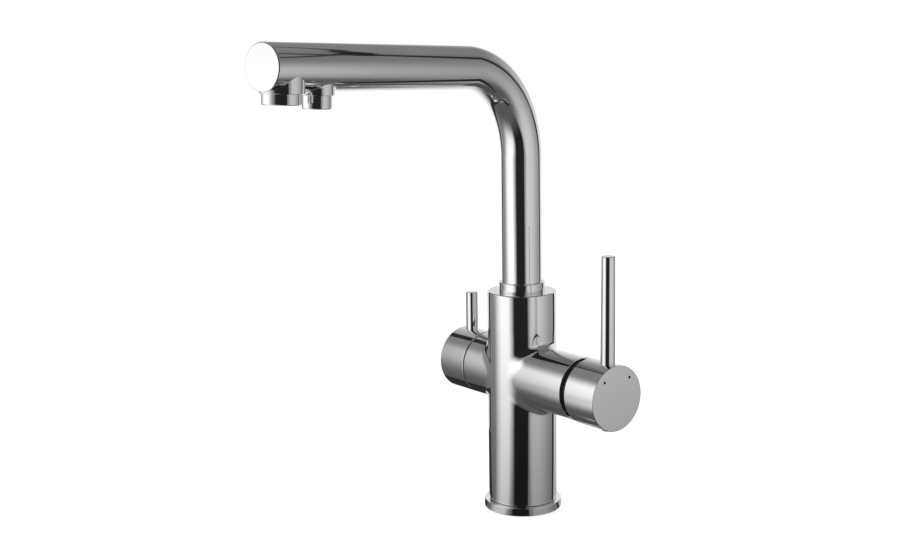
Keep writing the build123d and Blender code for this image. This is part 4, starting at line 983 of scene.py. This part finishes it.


# Filter lever: a shorter barrel of the same make on the other side, with a short straight pin. A thin
# black washer sits in the gap behind the barrel, against rubbing; its black is painted shade of the gap.

FILTER_PIN_PLACE = -55.2
FILTER_BARREL_START = 39.25
WASHER_RADIUS = 21.6
WASHER_BORE = 13.0
WASHER_FACE = 39.2
WASHER_GAP = 0.03
barrel(
    "filter_lever_barrel",
    "filter_handle_barrel",
    "filter_lever",
    along_filter,
    radius=22.3,
    bore=20.0,
    start=FILTER_BARREL_START,
    end=64.85,
    hub=12.85,
    pin_place=FILTER_PIN_PLACE,
)
# The washer's black PPS is painted shade, so the gap behind the barrel reads dark.
washer_back = FILTER_BRANCH_END + WASHER_GAP
washer = lathe(
    "filter_lever_black_shade_washer",
    pps,
    along_filter,
    [
        (WASHER_BORE, washer_back),
        (WASHER_RADIUS, washer_back),
        (WASHER_RADIUS, WASHER_FACE),
        (WASHER_BORE, WASHER_FACE),
    ],
)
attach(washer, "tap_body")
pin(
    "filter_lever_rod",
    "filter_lever_pin",
    "filter_lever",
    FILTER_PIN_PLACE,
    foot=8.7,
    head=8.6,
    low=118.45,
    top=147.2,
)


# Camera, at the place and angle that the photograph was taken from.

CAMERA_PLACE = Vector((0.790802, -0.689409, 0.366687))  # m
CAMERA_BEARING = radians(-38.36)  # the way to the camera, from +X
FOCAL_LENGTH = 61.353  # mm
SENSOR_WIDTH = 36  # mm
camera_data = bpy.data.cameras.new("camera")
camera_data.lens = FOCAL_LENGTH
camera_data.sensor_width = SENSOR_WIDTH
camera = bpy.data.objects.new("camera", camera_data)
bpy.context.scene.collection.objects.link(camera)
right = Vector((0.622512, 0.782490, -0.013725))
above = Vector((-0.136502, 0.125829, 0.982616))
forward = Vector((-0.770614, 0.609817, -0.185141))
turn = Matrix((right, above, -forward)).transposed().to_4x4()
camera.matrix_world = Matrix.Translation(CAMERA_PLACE) @ turn
bpy.context.scene.camera = camera


# Floor: a plain white sweep that keeps the tap's soft shadow. Camera, glossy and transmission rays
# get part of its white from an emission, so that it stays clean where the lamps fall off. It is
# clear from below, so that the tap's underside can be looked at.

FLOOR_HEIGHT = -0.05  # so that it never meets the gasket's own face
FLOOR_RADIUS = 4000
FLOOR_SIDES = 96
FLOOR_GLOW = 0.62
floor_shape = bmesh.new()
skin(floor_shape, turned([(0, FLOOR_HEIGHT), (FLOOR_RADIUS, FLOOR_HEIGHT)], FLOOR_SIDES))

# White board, painted matt: the eye sees only clean white and the tap's soft shadow.
board, tree = material_tree("white_board_matt")
path = add(tree, "ShaderNodeLightPath").outputs
direct = {0: path["Is Camera Ray"], 1: path["Is Glossy Ray"]}
seen = add(tree, "ShaderNodeMath", direct, operation="MAXIMUM")
seen = add(tree, "ShaderNodeMath", {0: seen, 1: path["Is Transmission Ray"]}, operation="MAXIMUM")
shine = add(tree, "ShaderNodeMath", {0: seen, 1: FLOOR_GLOW}, operation="MULTIPLY")
matt = add(tree, "ShaderNodeBsdfDiffuse", {"Color": linear("#C8C8C8")})
glow = add(tree, "ShaderNodeEmission", {"Strength": shine})
sum_shader = add(tree, "ShaderNodeAddShader", {0: matt, 1: glow})
under = add(tree, "ShaderNodeNewGeometry").outputs["Backfacing"]
clear = add(tree, "ShaderNodeBsdfTransparent")
either = add(tree, "ShaderNodeMixShader", {0: under, 1: sum_shader, 2: clear})
add(tree, "ShaderNodeOutputMaterial", {"Surface": either})
floor = finished("floor", floor_shape, board)
if floor.data.polygons[0].normal.z < 0:
    floor.data.flip_normals()

# Air of the studio: white to the eye and in mirrors, a little dimmer as a light on the piece.
world = bpy.data.worlds.new("studio_air")
bpy.context.scene.world = world
world.use_nodes = True
tree = world.node_tree
tree.nodes.clear()
path = add(tree, "ShaderNodeLightPath").outputs
direct = {0: path["Is Camera Ray"], 1: path["Is Glossy Ray"]}
seen = add(tree, "ShaderNodeMath", direct, operation="MAXIMUM")
seen = add(tree, "ShaderNodeMath", {0: seen, 1: path["Is Transmission Ray"]}, operation="MAXIMUM")
level = add(tree, "ShaderNodeMapRange", {"Value": seen, "To Min": 0.75, "To Max": 1.0})
air = add(tree, "ShaderNodeBackground", {"Color": (1, 1, 1, 1), "Strength": level})
add(tree, "ShaderNodeOutputWorld", {"Surface": air})


# Tent: the white cloth tent that chromed things are photographed in, with the light that the cloth
# gives back. Only the mirror surfaces see it. Bearings are degrees from the camera, to its right.

TENT_RADIUS = 500
TENT_WALL = 1050
TENT_TOP = 1150
TENT_CORNER = 60
TENT_SHOULDER = 90
TENT_FLOOR = 0.5
TENT_SIDES = 96
TENT_MOUTH = 27.7  # where its floor starts, just outside the flange
TENT_EYE = 0.001  # radius of the hole that is left in its top
BACK_FOOT = 0.95  # light of the back cloth at its foot, and at its top
BACK_TOP = 0.25
BACK_RISE = {"From Min": 0.12, "From Max": 0.66}  # m up, between which it fades
LEAN_TOP = 0.3  # m up, where leaning edges stand upright
PULL_REACH = 0.05  # m, how soon the pull near the tap fades
# Painted shade: the board's light is kept dim round the tap, where the tap shades it.
BOARD_SHADE = 0.115  # light of the board round the tap, seen from above
PATCH = (134, 166, 8, 8)  # bearings of the pale patch on that board, and the softness of its edges
EDGE_SOFT = 3
END_SOFT = 0.01  # m
PANELS = (
    # Lean with height, pull near the tap, from, to, softness of each edge, light at the foot and at
    # the top, and the heights between which the light changes.
    (0, 0, -143, -10, 6, 6, 0.30, 0.25, 200, 600),  # left cloth
    (45, 1.25, -90, -37, 42, 24, 1.34, 0.25, 300, 600),  # soft box behind it
    (0, 0, 5, 127, 7, 5, 0.37, 0.22, 120, 620),  # right cloth
    (0, 0, 24.6, 81, 12, 70, 0.76, 0.22, 150, 620),  # white reflector on it
    (20, 0.5, -29.9, 19.0, 8, 6, 0.02, 0.02, 0, 1000),  # black card round the camera
)
EDGES = (
    # Gaps between the cloths, seams along their tops, and painted shade of the tap round its foot: kind of
    # bearing, lean, from, to, slope, the nearest and farthest run from the tap, and light.
    # The left gap where it meets the floor, widened round the tap's foot as painted shade of the tap.
    ("around", 0, -180, -141, 0, 0, 200, 0.03),
    ("plain", 0, -148, -134, 0, 200, 1140, 0.03),
    ("swung", 58, 118, 131, 0, 0, 760, 0.02),
    ("swung", 58, 121, 128, 0, 750, 1270, 0.02),
    ("plain", 0, 60, 117, -5.7, 652, 680, 0.03),
    ("plain", 0, 107, 131, -6.4, 528, 590, 0.02),
    ("plain", 0, 105, 111, 0, 1260, 1420, 0.06),
    ("plain", 0, 129, 178, -2.1, 1102, 1132, 0.04),
)

tent_shape = bmesh.new()
tent_points = rounded(
    (TENT_MOUTH, TENT_FLOOR),
    (TENT_RADIUS, TENT_FLOOR, TENT_CORNER),
    (TENT_RADIUS, TENT_WALL, TENT_SHOULDER),
    (TENT_EYE, TENT_TOP),
)
skin(tent_shape, turned(tent_points, TENT_SIDES))

# White nylon cloth, lit from behind: in the chrome the eye sees broad soft bands with dark edges.
cloth, tree = material_tree("tent_cloth")
coordinates = add(tree, "ShaderNodeTexCoord").outputs["Object"]
spot = add(tree, "ShaderNodeSeparateXYZ", {0: coordinates}).outputs
turn = add(tree, "ShaderNodeMath", {0: spot["Y"], 1: spot["X"]}, operation="ARCTAN2")
bearing = add(tree, "ShaderNodeMath", {0: turn}, operation="DEGREES")
flat = add(tree, "ShaderNodeVectorMath", {0: coordinates, 1: (1, 1, 0)}, operation="MULTIPLY")
out = add(tree, "ShaderNodeVectorMath", {0: flat}, operation="LENGTH").outputs["Value"]
run = add(tree, "ShaderNodeMath", {0: out, 1: spot["Z"]}, operation="ADD")
lift = add(tree, "ShaderNodeMath", {0: spot["Z"], 1: LEAN_TOP}, operation="MINIMUM")

# Bearing as the tap's own side sees it, which is a little off the tent's centre. Close to the tap,
# some edges are pulled further round.
short = add(tree, "ShaderNodeMath", {0: out, 1: BODY_RADIUS / 2 * MM}, operation="SUBTRACT")
share = add(tree, "ShaderNodeMath", {0: out, 1: short}, operation="DIVIDE")
around = add(tree, "ShaderNodeMath", {0: bearing, 1: share}, operation="MULTIPLY")
beyond = add(tree, "ShaderNodeMath", {0: run, 1: PULL_REACH}, operation="ADD")
closeness = add(tree, "ShaderNodeMath", {0: 1, 1: beyond}, operation="DIVIDE")


def between(value, start, end, start_soft, end_soft):
    """One between start and end of a value on the tent, and nought outside, with soft edges."""
    sides = []
    for edge, soft, low in ((start, start_soft, 0.0), (end, end_soft, 1.0)):
        reach = {"From Min": edge - soft / 2, "From Max": edge + soft / 2}
        reach.update({"To Min": low, "To Max": 1.0 - low})
        side = add(tree, "ShaderNodeMapRange", {"Value": value, **reach}, interpolation_type="SMOOTHSTEP")
        sides.append(side)
    return add(tree, "ShaderNodeMath", {0: sides[0], 1: sides[1]}, operation="MULTIPLY")


rise = {**BACK_RISE, "To Min": BACK_FOOT, "To Max": BACK_TOP}
light = add(tree, "ShaderNodeMapRange", {"Value": spot["Z"], **rise}, interpolation_type="SMOOTHSTEP")
for lean, pull, start, end, start_soft, end_soft, low, high, foot_z, top_z in PANELS:
    rise = {"From Min": foot_z * MM, "From Max": top_z * MM, "To Min": low, "To Max": high}
    level = add(tree, "ShaderNodeMapRange", {"Value": spot["Z"], **rise}, interpolation_type="SMOOTHSTEP")
    leaning = add(tree, "ShaderNodeMath", {0: lift, 1: lean, 2: around}, operation="MULTIPLY_ADD")
    leaning = add(tree, "ShaderNodeMath", {0: closeness, 1: pull, 2: leaning}, operation="MULTIPLY_ADD")
    inside = between(leaning, start, end, start_soft, end_soft)
    light = add(tree, "ShaderNodeMix", {"Factor": inside, "A": light, "B": level}, data_type="FLOAT")

# The floor's board, painted: dim from above near the tap as painted shade of the tap, but for a pale
# patch behind it, and a painted reflection of the cloth at a low angle.
# Painted shade of the tap: all the tent's light is dimmed close to its foot.
fade = {"From Min": 0.03, "From Max": 0.6, "To Min": 0.5}
near = add(tree, "ShaderNodeMapRange", {"Value": run, **fade})
light = add(tree, "ShaderNodeMath", {0: light, 1: near}, operation="MULTIPLY")
clearing = {"From Min": 0.14, "From Max": 0.42}
far = add(tree, "ShaderNodeMapRange", {"Value": run, **clearing}, interpolation_type="SMOOTHSTEP")
# Painted reflection: at a low angle the board shows the cloth's light, as gloss would.
facing = add(tree, "ShaderNodeLayerWeight", {"Blend": 0.5}).outputs["Facing"]
slant = {"From Min": 0.33, "From Max": 0.69}
painted_low_angle_reflection = add(tree, "ShaderNodeMapRange", {"Value": facing, **slant}, interpolation_type="SMOOTHSTEP")
onset = {"From Min": 0.015, "From Max": 0.05, "To Min": 0.35, "To Max": 0.9}
strength = add(tree, "ShaderNodeMapRange", {"Value": run, **onset})
behind = between(bearing, *PATCH)
patch = add(tree, "ShaderNodeMath", {0: behind, 1: strength}, operation="MULTIPLY")
shown = add(tree, "ShaderNodeMath", {0: far, 1: painted_low_angle_reflection}, operation="MAXIMUM")
shown = add(tree, "ShaderNodeMath", {0: shown, 1: patch}, operation="MAXIMUM")
light = add(tree, "ShaderNodeMix", {"Factor": shown, "A": BOARD_SHADE, "B": light}, data_type="FLOAT")

# The gap on the right stands a little further round on the wall than on the floor.
further = {"From Max": 0.03, "To Max": 8.0}
swing = add(tree, "ShaderNodeMapRange", {"Value": spot["Z"], **further}, interpolation_type="SMOOTHSTEP")
swung = add(tree, "ShaderNodeMath", {0: around, 1: swing}, operation="SUBTRACT")
bearings = {"plain": bearing, "around": around, "swung": swung}
for way, lean, start, end, slope, near_run, far_run, level in EDGES:
    leaning = add(tree, "ShaderNodeMath", {0: lift, 1: lean, 2: bearings[way]}, operation="MULTIPLY_ADD")
    across = between(leaning, start, end, EDGE_SOFT, EDGE_SOFT)
    sloping = add(tree, "ShaderNodeMath", {0: bearing, 1: slope * MM, 2: run}, operation="MULTIPLY_ADD")
    along = between(sloping, near_run * MM, far_run * MM, END_SOFT, END_SOFT)
    inside = add(tree, "ShaderNodeMath", {0: across, 1: along}, operation="MULTIPLY")
    light = add(tree, "ShaderNodeMix", {"Factor": inside, "A": light, "B": level}, data_type="FLOAT")

glow = add(tree, "ShaderNodeEmission", {"Strength": light})
add(tree, "ShaderNodeOutputMaterial", {"Surface": glow})
cloth.cycles.emission_sampling = "NONE"
tent = finished("tent", tent_shape, cloth)
tent.rotation_euler.z = CAMERA_BEARING
for rays in ("camera", "diffuse", "shadow", "transmission", "volume_scatter"):
    setattr(tent, "visible_" + rays, False)


# Lamps: two large soft boxes for what isn't a mirror: the floor, the dots, rubber and plastic.

LAMP_SIZE = 1.0  # m
AIM = Vector((0, -0.05, 0.12))  # the middle of the tap
for name, place, power in (
    ("left_soft_box", Vector((-0.6, -1.4, 1.3)), 9),
    ("right_soft_box", Vector((1.5, 0.5, 1.1)), 6),
):
    lamp_data = bpy.data.lights.new(name, "AREA")
    lamp_data.size = LAMP_SIZE
    lamp_data.energy = power
    lamp = bpy.data.objects.new(name, lamp_data)
    bpy.context.scene.collection.objects.link(lamp)
    turn = (AIM - place).to_track_quat("-Z", "Y").to_matrix().to_4x4()
    lamp.matrix_world = Matrix.Translation(place) @ turn
    lamp.visible_glossy = False


bpy.context.scene.view_settings.view_transform = "Standard"
